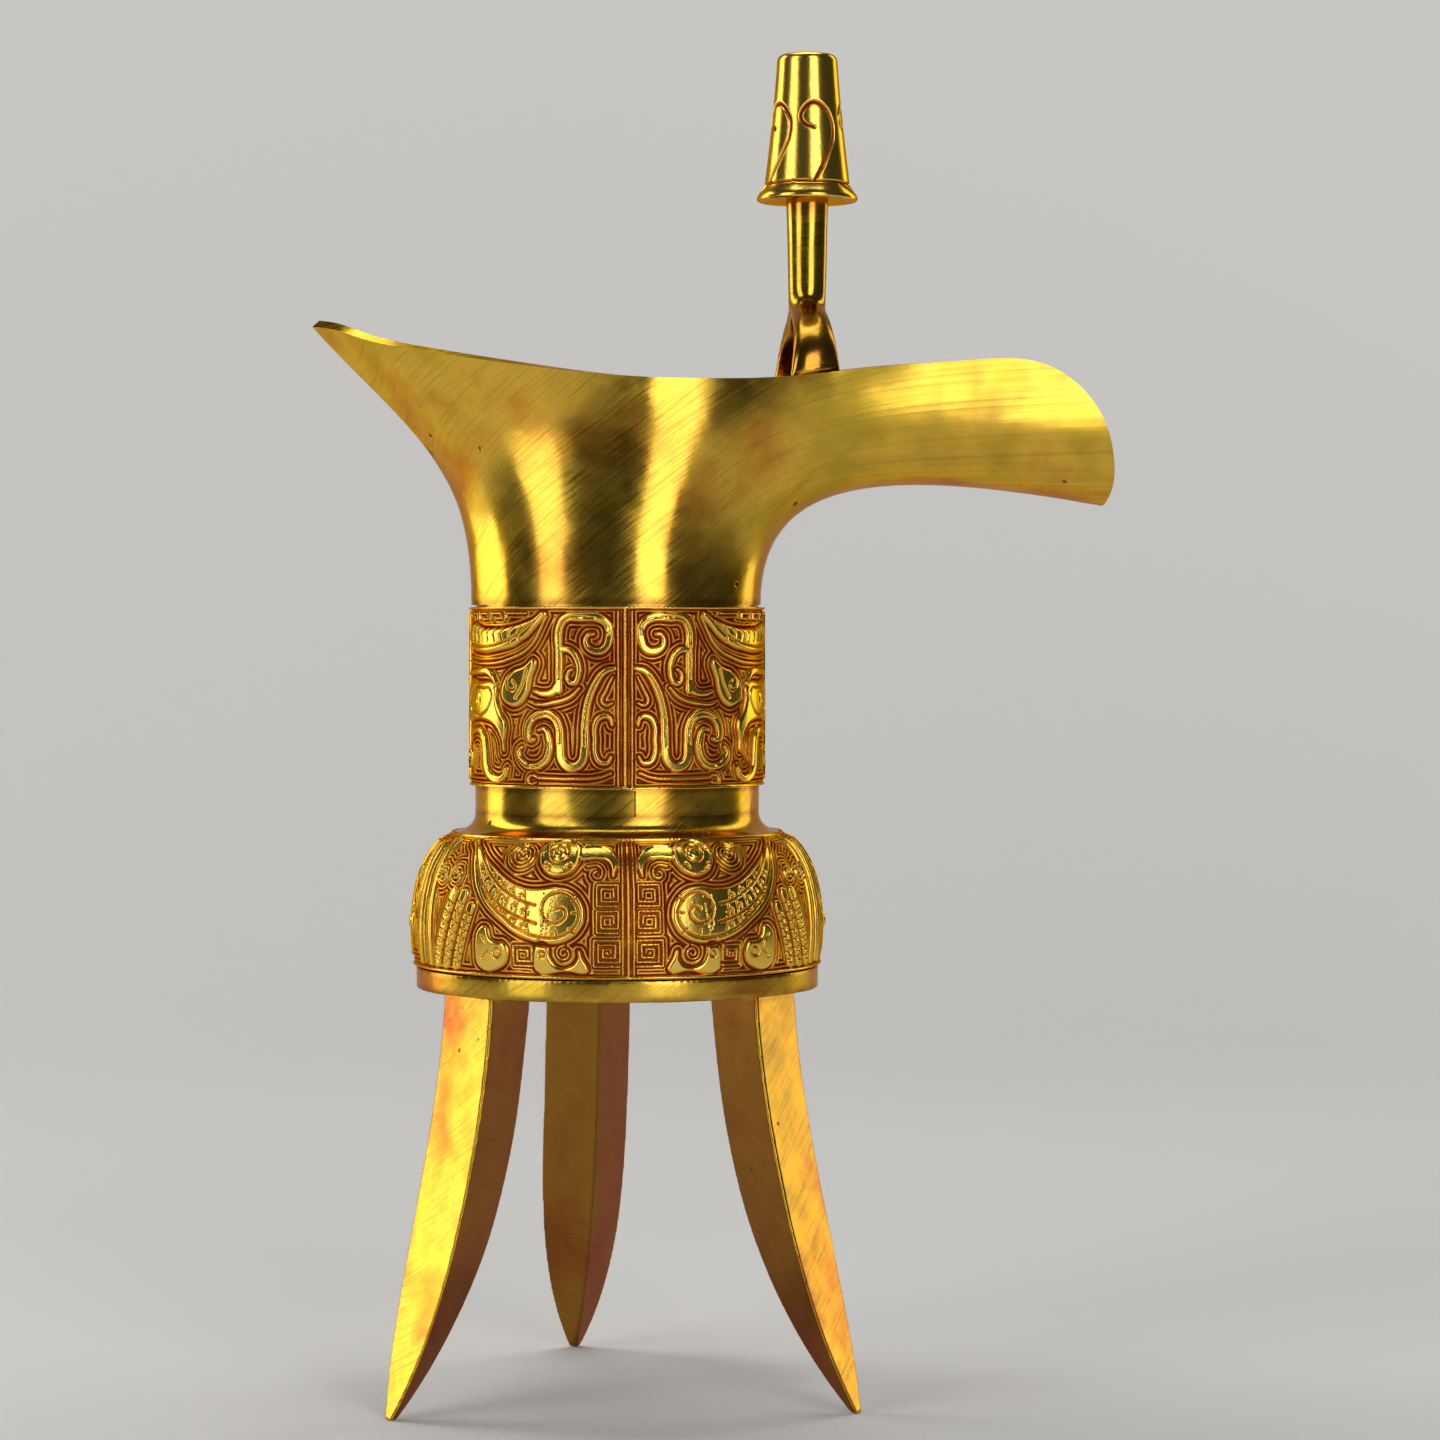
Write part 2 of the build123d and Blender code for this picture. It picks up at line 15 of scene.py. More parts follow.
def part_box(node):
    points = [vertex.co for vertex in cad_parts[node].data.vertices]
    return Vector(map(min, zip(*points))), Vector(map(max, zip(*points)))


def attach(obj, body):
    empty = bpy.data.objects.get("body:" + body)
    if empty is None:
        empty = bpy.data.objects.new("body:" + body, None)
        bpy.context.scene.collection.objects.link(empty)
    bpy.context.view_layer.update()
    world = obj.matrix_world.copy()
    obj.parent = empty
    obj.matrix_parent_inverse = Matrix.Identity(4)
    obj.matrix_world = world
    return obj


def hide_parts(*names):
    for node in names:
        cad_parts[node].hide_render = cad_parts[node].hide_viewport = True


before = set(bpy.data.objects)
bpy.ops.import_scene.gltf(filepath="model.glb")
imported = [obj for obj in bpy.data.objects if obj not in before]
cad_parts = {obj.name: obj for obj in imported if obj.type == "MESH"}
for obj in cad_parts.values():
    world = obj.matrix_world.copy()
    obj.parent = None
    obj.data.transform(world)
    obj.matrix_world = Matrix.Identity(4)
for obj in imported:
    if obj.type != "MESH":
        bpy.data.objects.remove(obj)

log = logging.getLogger("jue")

BODY = "root"
MM = 0.001
# Points nearer to each other than this, in metres, are one point.
WELD = 1e-6
# How finely a span of a carved line or of a section is drawn, and a section measured.
STROKE_STEPS = 10
SECTION_STEPS = 48
SECTION_SAMPLES = 400
# The carving tree's inputs that a belt sets from its own fields, in millimetres.
CARVING_SIZES = (
    "strap_height", "strap_edge", "fill_height", "fill_edge", "ridge_height", "line_height", "line_pitch",
    "cut_depth", "ground_depth",
)

Point = tuple[float, float]
Span = tuple[Point, Point, Point, Point]
Socket = bpy.types.NodeSocket
Material = bpy.types.Material
Mesh = bpy.types.Mesh
Object = bpy.types.Object


class Slot(Enum):
    """The material slots."""

    GILT = "gilt_bronze"
    RELIEF = "relief_bronze"


class Half(Enum):
    """The halves of a belt, by the side of the vessel that they are on."""

    FRONT = "front"
    REAR = "rear"


class Corner(Enum):
    """How a carved line turns at its points."""

    ROUND = "AUTO"
    SQUARE = "VECTOR"


def linear(code: str) -> tuple[float, float, float, float]:
    """Turns an sRGB hex colour into linear red, green, blue and an alpha of one."""
    parts = [int(code[i : i + 2], 16) / 255 for i in (1, 3, 5)]
    values = [p / 12.92 if p <= 0.04045 else ((p + 0.055) / 1.055) ** 2.4 for p in parts]
    return (values[0], values[1], values[2], 1.0)


class Graph:
    """A node tree, with one way of adding nodes to it and short forms for the common ones."""

    gives_number = ("DISTANCE", "DOT_PRODUCT", "LENGTH")

    def __init__(self, tree: bpy.types.NodeTree) -> None:
        """Keeps the tree that nodes are added to."""
        self.tree = tree

    def add(self, kind: str, inputs: dict[Any, Any] | None = None, **settings: Any) -> bpy.types.Node:
        """Adds a node with its settings and links.

        Args:
            kind: the node's type name.
            inputs: a value, or an output socket to link, for each input by name or number.
            settings: the node's own settings.

        Returns:
            The new node.
        """
        node = self.tree.nodes.new(kind)
        for name, value in settings.items():
            setattr(node, name, value)
        self.feed(node, inputs or {})
        return node

    def feed(self, node: bpy.types.Node, inputs: dict[Any, Any]) -> None:
        """Sets or links a node's inputs."""
        for key, value in inputs.items():
            if isinstance(value, Socket):
                self.tree.links.new(value, node.inputs[key])
            else:
                node.inputs[key].default_value = value

    def math(self, operation: str, *values: Any) -> Socket:
        """Adds a step of arithmetic."""
        return self.add("ShaderNodeMath", dict(enumerate(values)), operation=operation).outputs[0]

    def vector(self, operation: str, *values: Any, **inputs: Any) -> Socket:
        """Adds a step of vector arithmetic, which gives a vector or a number."""
        node = self.add("ShaderNodeVectorMath", {**dict(enumerate(values)), **inputs}, operation=operation)
        return node.outputs["Value" if operation in self.gives_number else "Vector"]

    def remap(self, value: Socket, start: Any, end: Any, low: float = 0.0, high: float = 1.0) -> Socket:
        """Adds a step that takes one range of numbers to another and keeps within it."""
        ends = {"From Min": start, "From Max": end, "To Min": low, "To Max": high}
        return self.add("ShaderNodeMapRange", {"Value": value, **ends}).outputs[0]

    def noise(self, place: Socket, size: float, detail: float, **inputs: float) -> Socket:
        """Adds a cloudy noise with a grain of so many millimetres."""
        values = {"Vector": place, "Scale": 1 / (size * MM), "Detail": detail, **inputs}
        return self.add("ShaderNodeTexNoise", values).outputs["Fac"]

    def ramp(self, value: Socket, stops: Sequence[tuple[float, str]]) -> Socket:
        """Adds a run of colours, each at its place between 0 and 1."""
        node = self.add("ShaderNodeValToRGB", {"Fac": value})
        elements = node.color_ramp.elements
        for element, (spot, code) in zip(elements, (stops[0], stops[-1])):
            element.position, element.color = spot, linear(code)
        for spot, code in stops[1:-1]:
            elements.new(spot).color = linear(code)
        return node.outputs["Color"]

    def mix(self, share: Socket, first: Any, second: Any) -> Socket:
        """Adds a blend of two colours."""
        return self.add("ShaderNodeMix", {0: share, 6: first, 7: second}, data_type="RGBA").outputs[2]

    def bump(self, height: Socket, strength: float, depth: float, under: Any = None, **settings: Any) -> Socket:
        """Adds an unevenness some millimetres deep, on top of the one under it if there is one."""
        inputs = {"Height": height, "Strength": strength, "Distance": depth * MM}
        if under is not None:
            inputs["Normal"] = under
        return self.add("ShaderNodeBump", inputs, **settings).outputs[0]


def new_material(name: str) -> tuple[Material, Graph, bpy.types.Node]:
    """Starts a material: it, its node tree and its surface shader."""
    material = bpy.data.materials.new(name)
    material.use_nodes = True
    return material, Graph(material.node_tree), material.node_tree.nodes["Principled BSDF"]


def place_object(name: str, data: bpy.types.ID) -> Object:
    """Puts data into the scene as an object at the origin."""
    item = bpy.data.objects.new(name, data)
    bpy.context.scene.collection.objects.link(item)
    return item


def dress(mesh: Mesh, finish: Material) -> None:
    """Gives a mesh its one material."""
    mesh.materials.clear()
    mesh.materials.append(finish)


def converted(holder: Object, name: str, finish: Material) -> Mesh:
    """Takes the plain mesh that an object's modifiers make, and removes the object.

    Args:
        holder: the object.
        name: the new mesh's name.
        finish: its material.

    Returns:
        The new mesh.
    """
    graph = bpy.context.evaluated_depsgraph_get()
    mesh = bpy.data.meshes.new_from_object(holder.evaluated_get(graph), depsgraph=graph)
    holder.modifiers.clear()
    bpy.data.meshes.remove(holder.data)
    mesh.name = name
    dress(mesh, finish)
    return mesh


def welded(node: str) -> bmesh.types.BMesh:
    """Copies a CAD node's mesh and merges its doubled points."""
    shell = bmesh.new()
    shell.from_mesh(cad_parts[node].data)
    bmesh.ops.remove_doubles(shell, verts=shell.verts, dist=WELD)
    return shell


@dataclass(frozen=True)
class PolishedGilding:
    """Cast bronze, filed, hand-polished, gilded and lacquered: a soft mirror with wheel marks.

    It gives the eye a saturated yellow that turns olive and orange in clouds, long blurred
    reflections that waver with the casting and whiten under the lacquer, fine bright scratches and
    a few dark pin holes.
    """

    name: str = "gilt bronze, hand polished"
    gold: str = "#E8B93F"
    olive: str = "#C8A530"
    copper: str = "#CB7A22"
    patina: str = "#6A2A10"
    edge: str = "#D9A24A"
    streak: str = "#94741E"
    brushing: float = 0.38
    brush_radius: float = 30.0
    brush_slope: float = 0.6
    brush_stretch: float = 25.0
    roughness: tuple[float, float] = (0.12, 0.32)
    wear: tuple[float, float] = (0.10, 0.45)
    marking: tuple[float, float] = (0.5, 0.72)
    pitting: tuple[float, float] = (0.03, 0.055)
    inner_turn: tuple[float, float] = (0.2, -0.2)
    wave_bump: tuple[float, float] = (0.35, 1.2)
    scratch_bump: tuple[float, float] = (0.18, 0.06)
    pit_bump: tuple[float, float] = (0.6, 0.2)
    cloud_mm: float = 22.0
    wave_mm: float = 14.0
    scratch_mm: float = 0.5
    smudge_mm: float = 9.0
    pit_mm: float = 11.0
    fray_mm: float = 3.0
    lacquer: float = 0.25
    lacquer_roughness: float = 0.12
    # How strongly faces that look towards the axis get painted shade in the patina's colour; none by default.
    painted_shade_strength: float = 0.0
    stain: tuple[tuple[float, float], ...] = ()

    def build(self) -> Material:
        """Makes the material with its clouds, brush marks, pits and stained seams."""
        material, graph, shader = new_material(self.name)
        place = graph.add("ShaderNodeTexCoord").outputs["Object"]
        clouds = graph.noise(place, self.cloud_mm, 4.0, Roughness=0.6)
        tones = graph.ramp(clouds, ((0.35, self.olive), (0.50, self.gold), (0.72, self.copper)))
        scratches = graph.noise(self._brush_way(graph, place), self.scratch_mm, 3.0)
        smudge = graph.noise(place, self.smudge_mm, 3.0, Distortion=0.6)
        spread = {"Vector": place, "Scale": 1 / (self.pit_mm * MM), "Randomness": 1.0}
        cells = graph.add("ShaderNodeTexVoronoi", spread).outputs["Distance"]
        pits = graph.remap(cells, *self.pitting, 1.0, 0.0)
        marks = graph.remap(scratches, *self.marking, 0.0, self.brushing)
        brushed = graph.mix(marks, tones, linear(self.streak))
        wavy = graph.bump(graph.noise(place, self.wave_mm, 1.5), *self.wave_bump)
        scratched = graph.bump(scratches, *self.scratch_bump, under=wavy)
        worn = graph.math("MULTIPLY", scratches, smudge)
        surface = {
            "Base Color": graph.mix(self._stains_and_painted_shade(graph, place, pits), brushed, linear(self.patina)),
            "Roughness": graph.remap(worn, *self.wear, *self.roughness),
            "Normal": graph.bump(pits, *self.pit_bump, under=scratched, invert=True),
            "Metallic": 1.0,
            "Specular Tint": linear(self.edge),
            "Coat Weight": self.lacquer,
            "Coat Roughness": self.lacquer_roughness,
        }
        graph.feed(shader, surface)
        return material

    def _brush_way(self, graph: Graph, place: Socket) -> Socket:
        """The wall unrolled round the vessel's axis and drawn out along the brush's strokes."""
        axes = graph.add("ShaderNodeSeparateXYZ", {0: place}).outputs
        run = graph.math("MULTIPLY", graph.math("ARCTAN2", axes["Y"], axes["X"]), self.brush_radius * MM)
        sheet = graph.add("ShaderNodeCombineXYZ", {"X": run, "Y": axes["Z"]}).outputs[0]
        turn, stretch = (0.0, 0.0, self.brush_slope), (self.brush_stretch, 1.0, 1.0)
        drawn = {"Vector": sheet, "Rotation": turn, "Scale": stretch}
        return graph.add("ShaderNodeMapping", drawn, vector_type="TEXTURE").outputs[0]

    def _stains_and_painted_shade(self, graph: Graph, place: Socket, pits: Socket) -> Socket:
        """Adds the patina that stays along seams and in pin holes, and the painted shade on faces that look
        inwards.

        Args:
            graph: the material's tree.
            place: the object coordinates.
            pits: how far a point lies in a pin hole.

        Returns:
            How far the gilding is covered by patina or darkened by painted shade, from 0 to 1.
        """
        height = graph.add("ShaderNodeSeparateXYZ", {0: place}).outputs["Z"]
        fray = graph.noise(place, self.fray_mm, 4.0)
        # Pin holes hold real patina; faces that look inwards get painted shade in the same colour.
        total = graph.math("MAXIMUM", pits, self._painted_inner_shade(graph, place))
        for level, reach in self.stain:
            away = graph.math("ABSOLUTE", graph.math("SUBTRACT", height, level * MM))
            band = graph.remap(away, 0.0, reach * MM, 1.0, 0.0)
            total = graph.math("MAXIMUM", total, graph.math("MULTIPLY", band, fray))
        return total

    def _painted_inner_shade(self, graph: Graph, place: Socket) -> Socket:
        """Painted shade, in the patina's colour, on faces that look towards the vessel's axis."""
        outwards = graph.vector("NORMALIZE", graph.vector("MULTIPLY", place, (1.0, 1.0, 0.0)))
        facing = graph.add("ShaderNodeTexCoord").outputs["Normal"]
        return graph.remap(graph.vector("DOT_PRODUCT", facing, outwards), *self.inner_turn, 0.0, self.painted_shade_strength)


@dataclass(frozen=True)
class ReliefGilding:
    """Cast relief, gilded and rubbed: bright tops, paler partly from rubbing and partly as a painted highlight,
    over a red-brown patina that stays in the grooves.

    It gives the eye dark warm lines between polished ridges, so the carving reads from afar.
    """

    name: str = "gilt bronze, patinated relief"
    attribute: str = "relief"
    groove: str = "#7A2A10"
    flank: str = "#C86C20"
    gold: str = "#E6AE3C"
    bright: str = "#F6CC58"
    edge: str = "#D9A24A"
    patch_mm: float = 5.0
    grain_mm: float = 0.6

    def build(self) -> Material:
        """Makes the material, led by the carved height of each point."""
        material, graph, shader = new_material(self.name)
        place = graph.add("ShaderNodeTexCoord").outputs["Object"]
        carved = graph.add("ShaderNodeAttribute", attribute_name=self.attribute).outputs["Fac"]
        patches = graph.noise(place, self.patch_mm, 4.0)
        level = graph.math("ADD", carved, graph.remap(patches, 0.3, 0.7, -0.10, 0.10))
        # The palest stop, on the crests, is partly rubbed gilding and partly painted highlight.
        stops = ((0.08, self.groove), (0.32, self.flank), (0.54, self.gold), (0.92, self.bright))
        surface = {
            "Base Color": graph.ramp(level, stops),
            "Roughness": graph.remap(level, 0.1, 0.7, 0.60, 0.20),
            "Normal": graph.bump(graph.noise(place, self.grain_mm, 3.0), 0.25, 0.08),
            "Metallic": 1.0,
            "Specular Tint": linear(self.edge),
        }
        graph.feed(shader, surface)
        return material


@dataclass(frozen=True)
class Stroke:
    """One carved line in a panel's own millimetres: u round the belt, v up its face."""

    points: tuple[Point, ...]
    widths: tuple[float, ...] = (0.8,)
    corner: Corner = Corner.ROUND
    closed: bool = False

    def half_width(self, share: float) -> float:
        """The half width at a share of the line's length."""
        if len(self.widths) == 1:
            return self.widths[0]
        return float(np.interp(share * (len(self.widths) - 1), range(len(self.widths)), self.widths))


def spiral(
    centre: Point, inner: float, outer: float, turns: float, start: float = 0.0, width: float = 0.25
) -> Stroke:
    """A round spiral line.

    Args:
        centre: its middle.
        inner: the radius where it starts.
        outer: the radius where it ends.
        turns: how often it goes round, negative for clockwise.
        start: the angle where it starts, in degrees.
        width: half its width.

    Returns:
        The line.
    """
    count = max(8, int(abs(turns) * 8))
    points = []
    for step in range(count + 1):
        share = step / count
        angle = math.radians(start) + share * turns * math.tau
        radius = inner + (outer - inner) * share
        points.append((centre[0] + radius * math.cos(angle), centre[1] + radius * math.sin(angle)))
    return Stroke(tuple(points), (width,))


def square_spiral(centre: Point, reach: float, pitch: float, width: float = 0.22) -> Stroke:
    """A squared spiral line, from its outer corner inwards.

    Args:
        centre: its middle.
        reach: half the size of its outer square.
        pitch: the step between its turns.
        width: half its width.

    Returns:
        The line.
    """
    x, y = centre
    points = [(x - reach, y - reach)]
    size = reach
    while size > pitch / 2:
        points += [(x + size, points[-1][1]), (x + size, y + size), (x - size, y + size)]
        size -= pitch
        points.append((x - size - pitch, y - size))
    return Stroke(tuple(points), (width,), Corner.SQUARE)


def disc(centre: Point, radius: float) -> Stroke:
    """A round boss as a closed outline."""
    points = []
    for step in range(10):
        angle = step * math.tau / 10
        points.append((centre[0] + radius * math.cos(angle), centre[1] + radius * math.sin(angle)))
    return Stroke(tuple(points), closed=True)


def between(line: Sequence[Point], share: float) -> np.ndarray:
    """The point at a share of a broken line's spans."""
    spot = share * (len(line) - 1)
    return np.array([np.interp(spot, range(len(line)), [point[axis] for point in line]) for axis in (0, 1)])


def barbs(low: Sequence[Point], high: Sequence[Point], count: int, reach: float = 1.0) -> list[Stroke]:
    """The bars across a feather, each with a small hook beside it.

    Args:
        low: the feather's lower edge.
        high: its upper edge, from the same end.
        count: how many bars.
        reach: the share of the feather that has bars.

    Returns:
        The cut lines.
    """
    cuts = []
    for index in range(1, count + 1):
        near, far, next_near, next_far = (
            between(line, (index + shift) / (count + 1) * reach)
            for shift in (0.0, 0.42)
            for line in (low, high)
        )
        cuts.append(Stroke((tuple(near * 0.9 + far * 0.1), tuple(near * 0.1 + far * 0.9)), (0.2,)))
        middle = tuple(near * 0.5 + far * 0.5)
        bend = tuple(next_near * 0.45 + next_far * 0.55)
        cuts.append(Stroke((middle, bend, tuple(next_near * 0.7 + next_far * 0.3)), (0.2,)))
    return cuts


def new_curve(name: str, resolution: int) -> bpy.types.Curve:
    """Starts a curve that is drawn with so many steps a span."""
    data = bpy.data.curves.new(name, "CURVE")
    data.dimensions = "3D"
    data.resolution_u = resolution
    return data


def curve_object(name: str, strokes: Iterable[Stroke]) -> Object:
    """Draws strokes as Bezier splines in a flat curve object, in metres.

    Args:
        name: the object's name.
        strokes: the lines to draw.

    Returns:
        The curve object, with half widths as the points' radii.
    """
    data = new_curve(name, STROKE_STEPS)
    for stroke in strokes:
        spline = data.splines.new("BEZIER")
        spline.bezier_points.add(len(stroke.points) - 1)
        spline.use_cyclic_u = stroke.closed
        last = max(1, len(stroke.points) - 1)
        for index, (point, (u, v)) in enumerate(zip(spline.bezier_points, stroke.points)):
            point.co = (u * MM, v * MM, 0.0)
            point.handle_left_type = point.handle_right_type = stroke.corner.value
            point.radius = stroke.half_width(index / last) * MM
    return place_object(name, data)


@dataclass(frozen=True)
class Profile:
    """A turned face's section: radius and height in millimetres, from its foot to its top."""

    controls: tuple[Span, ...]

    def at(self, share: float) -> Point:
        """The radius and height at a share of the section's spans."""
        spot = min(share * len(self.controls), len(self.controls) - 1e-9)
        span = self.controls[int(spot)]
        t = spot - int(spot)
        weights = ((1 - t) ** 3, 3 * t * (1 - t) ** 2, 3 * t * t * (1 - t), t**3)
        radius, height = (sum(w * p[axis] for w, p in zip(weights, span)) for axis in (0, 1))
        return (radius, height)

    def under(self, share: float, depth: float) -> Point:
        """The point at a depth below the section."""
        here, low, high = self.at(share), self.at(max(share - 0.01, 0.0)), self.at(min(share + 0.01, 1.0))
        span = math.dist(low, high)
        return (here[0] - depth * (high[1] - low[1]) / span, here[1] + depth * (high[0] - low[0]) / span)

    def length(self) -> float:
        """The section's length in millimetres."""
        points = [self.at(i / SECTION_SAMPLES) for i in range(SECTION_SAMPLES + 1)]
        return sum(math.dist(a, b) for a, b in zip(points, points[1:]))

    def curve(self, name: str) -> Object:
        """Draws the section as a Bezier spline in the XZ plane."""
        data = new_curve(name, SECTION_STEPS)
        spline = data.splines.new("BEZIER")
        spline.bezier_points.add(len(self.controls))
        for point in spline.bezier_points:
            point.handle_left_type = point.handle_right_type = "FREE"
        ends = [span[0] for span in self.controls] + [self.controls[-1][3]]
        for index, (point, end) in enumerate(zip(spline.bezier_points, ends)):
            before = self.controls[index - 1][2] if index else end
            after = self.controls[index][1] if index < len(self.controls) else end
            spots = [(radius * MM, 0.0, height * MM) for radius, height in (end, before, after)]
            point.co, point.handle_left, point.handle_right = spots
        return place_object(name, data)


def straight(start: Point, end: Point) -> Span:
    """A straight span of a section."""
    third = ((end[0] - start[0]) / 3, (end[1] - start[1]) / 3)
    return (start, (start[0] + third[0], start[1] + third[1]), (end[0] - third[0], end[1] - third[1]), end)


class TurnedRelief:
    """The Geometry Nodes tree that carves strokes into a turned face.

    Each point of a flat panel finds its distance to the drawn straps and filled forms. Inside
    them the face rises, outside it ripples in lines that run beside their outlines. Ridges stand
    on top, cuts are sunk, and a hand's wobble moves them all. The panel is then wrapped round the
    axis along a section.
    """

    sizes = (
        ("Run", 0.04),
        ("Rise", 0.03),
        ("Start", 0.0),
        ("Sweep", 1.0),
        ("Strap height", 0.0007),
        ("Strap edge", 0.0007),
        ("Fill height", 0.0007),
        ("Fill edge", 0.0009),
        ("Ridge height", 0.0003),
        ("Line pitch", 0.0008),
        ("Line height", 0.0004),
        ("Cut depth", 0.0004),
        ("Ground depth", 0.001),
        ("Wobble", 0.0002),
    )
    drawings = ("Profile", "Straps", "Fills", "Ridges", "Cuts")
    counts = (("Columns", 100), ("Rows", 100), ("Seed", 1))
    spacing = 0.12 * MM
    tremor = 2.4 * MM
    touch = 1e-7

    def __init__(self) -> None:
        """Builds the tree and its named inputs."""
        self.tree = bpy.data.node_groups.new("turned relief", "GeometryNodeTree")
        face = self.tree.interface
        for name in self.drawings:
            face.new_socket(name, in_out="INPUT", socket_type="NodeSocketObject")
        for name, value in self.sizes:
            face.new_socket(name, in_out="INPUT", socket_type="NodeSocketFloat").default_value = value
        for name, value in self.counts:
            face.new_socket(name, in_out="INPUT", socket_type="NodeSocketInt").default_value = value
        face.new_socket("Material", in_out="INPUT", socket_type="NodeSocketMaterial")
        face.new_socket("Geometry", in_out="OUTPUT", socket_type="NodeSocketGeometry")
        self.graph = Graph(self.tree)
        self.given = self.graph.add("NodeGroupInput").outputs
        self._carve()

    def _drawn(self, drawing: str) -> Socket:
        """The curves of one of the drawings."""
        return self.graph.add("GeometryNodeObjectInfo", {"Object": self.given[drawing]}).outputs["Geometry"]

    def _line_distance(self, drawing: str, spot: Socket) -> tuple[Socket, Socket]:
        """The distance from a point to the nearest edge of a drawn line, negative inside it.

        Args:
            drawing: the input that holds the lines.
            spot: the point.

        Returns:
            The signed distance, and the width over which the line's face rounds off.
        """
        graph = self.graph
        spread = {"Curve": self._drawn(drawing), "Length": self.spacing}
        cloud = graph.add("GeometryNodeCurveToPoints", spread, mode="LENGTH").outputs["Points"]
        index = graph.add("GeometryNodeSampleNearest", {"Geometry": cloud, "Sample Position": spot}).outputs[0]
        found = []
        for field, kind in (("Position", "FLOAT_VECTOR"), ("Radius", "FLOAT")):
            value = graph.add(f"GeometryNodeInput{field}").outputs[0]
            sample = {"Geometry": cloud, "Value": value, "Index": index}
            found.append(graph.add("GeometryNodeSampleIndex", sample, data_type=kind).outputs[0])
        middle, half = found
        distance = graph.math("SUBTRACT", graph.vector("DISTANCE", spot, middle), half)
        return distance, graph.math("MINIMUM", half, self.given["Strap edge"])

    def _form_distance(self, drawing: str, spot: Socket) -> Socket:
        """The distance from a point to the edge of the nearest filled form, negative inside it.

        Args:
            drawing: the input that holds the closed outlines.
            spot: the point.

        Returns:
            The signed distance.
        """
        graph = self.graph
        lines = self._drawn(drawing)
        ways = []
        for kind, target in (("GeometryNodeFillCurve", "FACES"), ("GeometryNodeCurveToMesh", "EDGES")):
            form = {0: graph.add(kind, {"Curve": lines}).outputs[0], "Sample Position": spot}
            ways.append(graph.add("GeometryNodeProximity", form, target_element=target).outputs["Distance"])
        outside, inside = ways
        apart = {"A": outside, "B": self.touch}
        beyond = graph.add("FunctionNodeCompare", apart, operation="GREATER_THAN").outputs[0]
        either = {0: beyond, 1: graph.math("MULTIPLY", inside, -1.0), 2: outside}
        return graph.add("GeometryNodeSwitch", either, input_type="FLOAT").outputs[0]

    def _step(self, distance: Socket, edge: Socket, height: Socket) -> Socket:
        """A rise inwards from an outline to a height, steep at its foot and round on top."""
        graph = self.graph
        angle = graph.remap(graph.math("MULTIPLY", distance, -1.0), 0.0, edge, 0.0, math.pi / 2)
        return graph.math("MULTIPLY", graph.math("SINE", angle), height)

    def _ripple(self, distance: Socket) -> Socket:
        """The height of the fine lines that fill the ground, at a distance from the outlines."""
        graph = self.graph
        count = graph.math("DIVIDE", distance, self.given["Line pitch"])
        wave = graph.math("COSINE", graph.math("MULTIPLY", count, math.tau))
        lines = graph.math("MULTIPLY", graph.remap(wave, 1.0, -1.0), self.given["Line height"])
        return graph.math("MULTIPLY", lines, graph.math("GREATER_THAN", distance, 0.0))

    def _height(self, spot: Socket) -> Socket:
        """The carved height over the ground at a point of the panel."""
        graph, given = self.graph, self.given
        to_strap, strap_edge = self._line_distance("Straps", spot)
        to_fill = self._form_distance("Fills", spot)
        to_ridge, ridge_edge = self._line_distance("Ridges", spot)
        to_cut, cut_edge = self._line_distance("Cuts", spot)
        strap = self._step(to_strap, strap_edge, given["Strap height"])
        fill = self._step(to_fill, given["Fill edge"], given["Fill height"])
        lines = self._ripple(graph.math("MINIMUM", to_strap, to_fill))
        carved = graph.math("MAXIMUM", graph.math("MAXIMUM", strap, fill), lines)
        topped = graph.math("ADD", carved, self._step(to_ridge, ridge_edge, given["Ridge height"]))
        return graph.math("SUBTRACT", topped, self._step(to_cut, cut_edge, given["Cut depth"]))

    def _carve(self) -> None:
        """Links the panel, its carving and its wrapping round the axis."""
        graph, given, add = self.graph, self.given, self.graph.add
        grid = {"Size X": "Run", "Size Y": "Rise", "Vertices X": "Columns", "Vertices Y": "Rows"}
        sheet = add("GeometryNodeMeshGrid", {key: given[name] for key, name in grid.items()}).outputs["Mesh"]
        size = add("ShaderNodeCombineXYZ", {"X": given["Run"], "Y": given["Rise"]}).outputs[0]
        flat = add("GeometryNodeInputPosition").outputs[0]
        place = graph.vector("ADD", flat, graph.vector("SCALE", size, Scale=0.5))
        tremor = {"Vector": place, "W": given["Seed"], "Scale": 1 / self.tremor, "Detail": 1.0}
        hand = add("ShaderNodeTexNoise", tremor, noise_dimensions="4D").outputs["Color"]
        sway = graph.vector("SUBTRACT", hand, (0.5, 0.5, 0.5))
        moved = graph.vector("ADD", place, graph.vector("SCALE", sway, Scale=given["Wobble"]))
        height = self._height(graph.vector("MULTIPLY", moved, (1.0, 1.0, 0.0)))
        share = graph.math("DIVIDE", height, given["Strap height"])
        mark = {"Geometry": sheet, "Name": ReliefGilding.attribute, "Value": share}
        shape = add("GeometryNodeStoreNamedAttribute", mark, data_type="FLOAT", domain="POINT").outputs[0]
        wrapped = {"Geometry": shape, "Position": self._wrap(place, height)}
        shape = add("GeometryNodeSetPosition", wrapped).outputs[0]
        shape = add("GeometryNodeMergeByDistance", {"Geometry": shape, "Distance": WELD}).outputs[0]
        turned_over = graph.math("LESS_THAN", given["Sweep"], 0.0)
        shape = add("GeometryNodeFlipFaces", {"Mesh": shape, "Selection": turned_over}).outputs[0]
        shape = add("GeometryNodeSetShadeSmooth", {"Geometry": shape}).outputs[0]
        shape = add("GeometryNodeRealizeInstances", {"Geometry": shape}).outputs[0]
        shape = add("GeometryNodeSetMaterial", {"Geometry": shape, "Material": given["Material"]}).outputs[0]
        add("NodeGroupOutput", {"Geometry": shape})

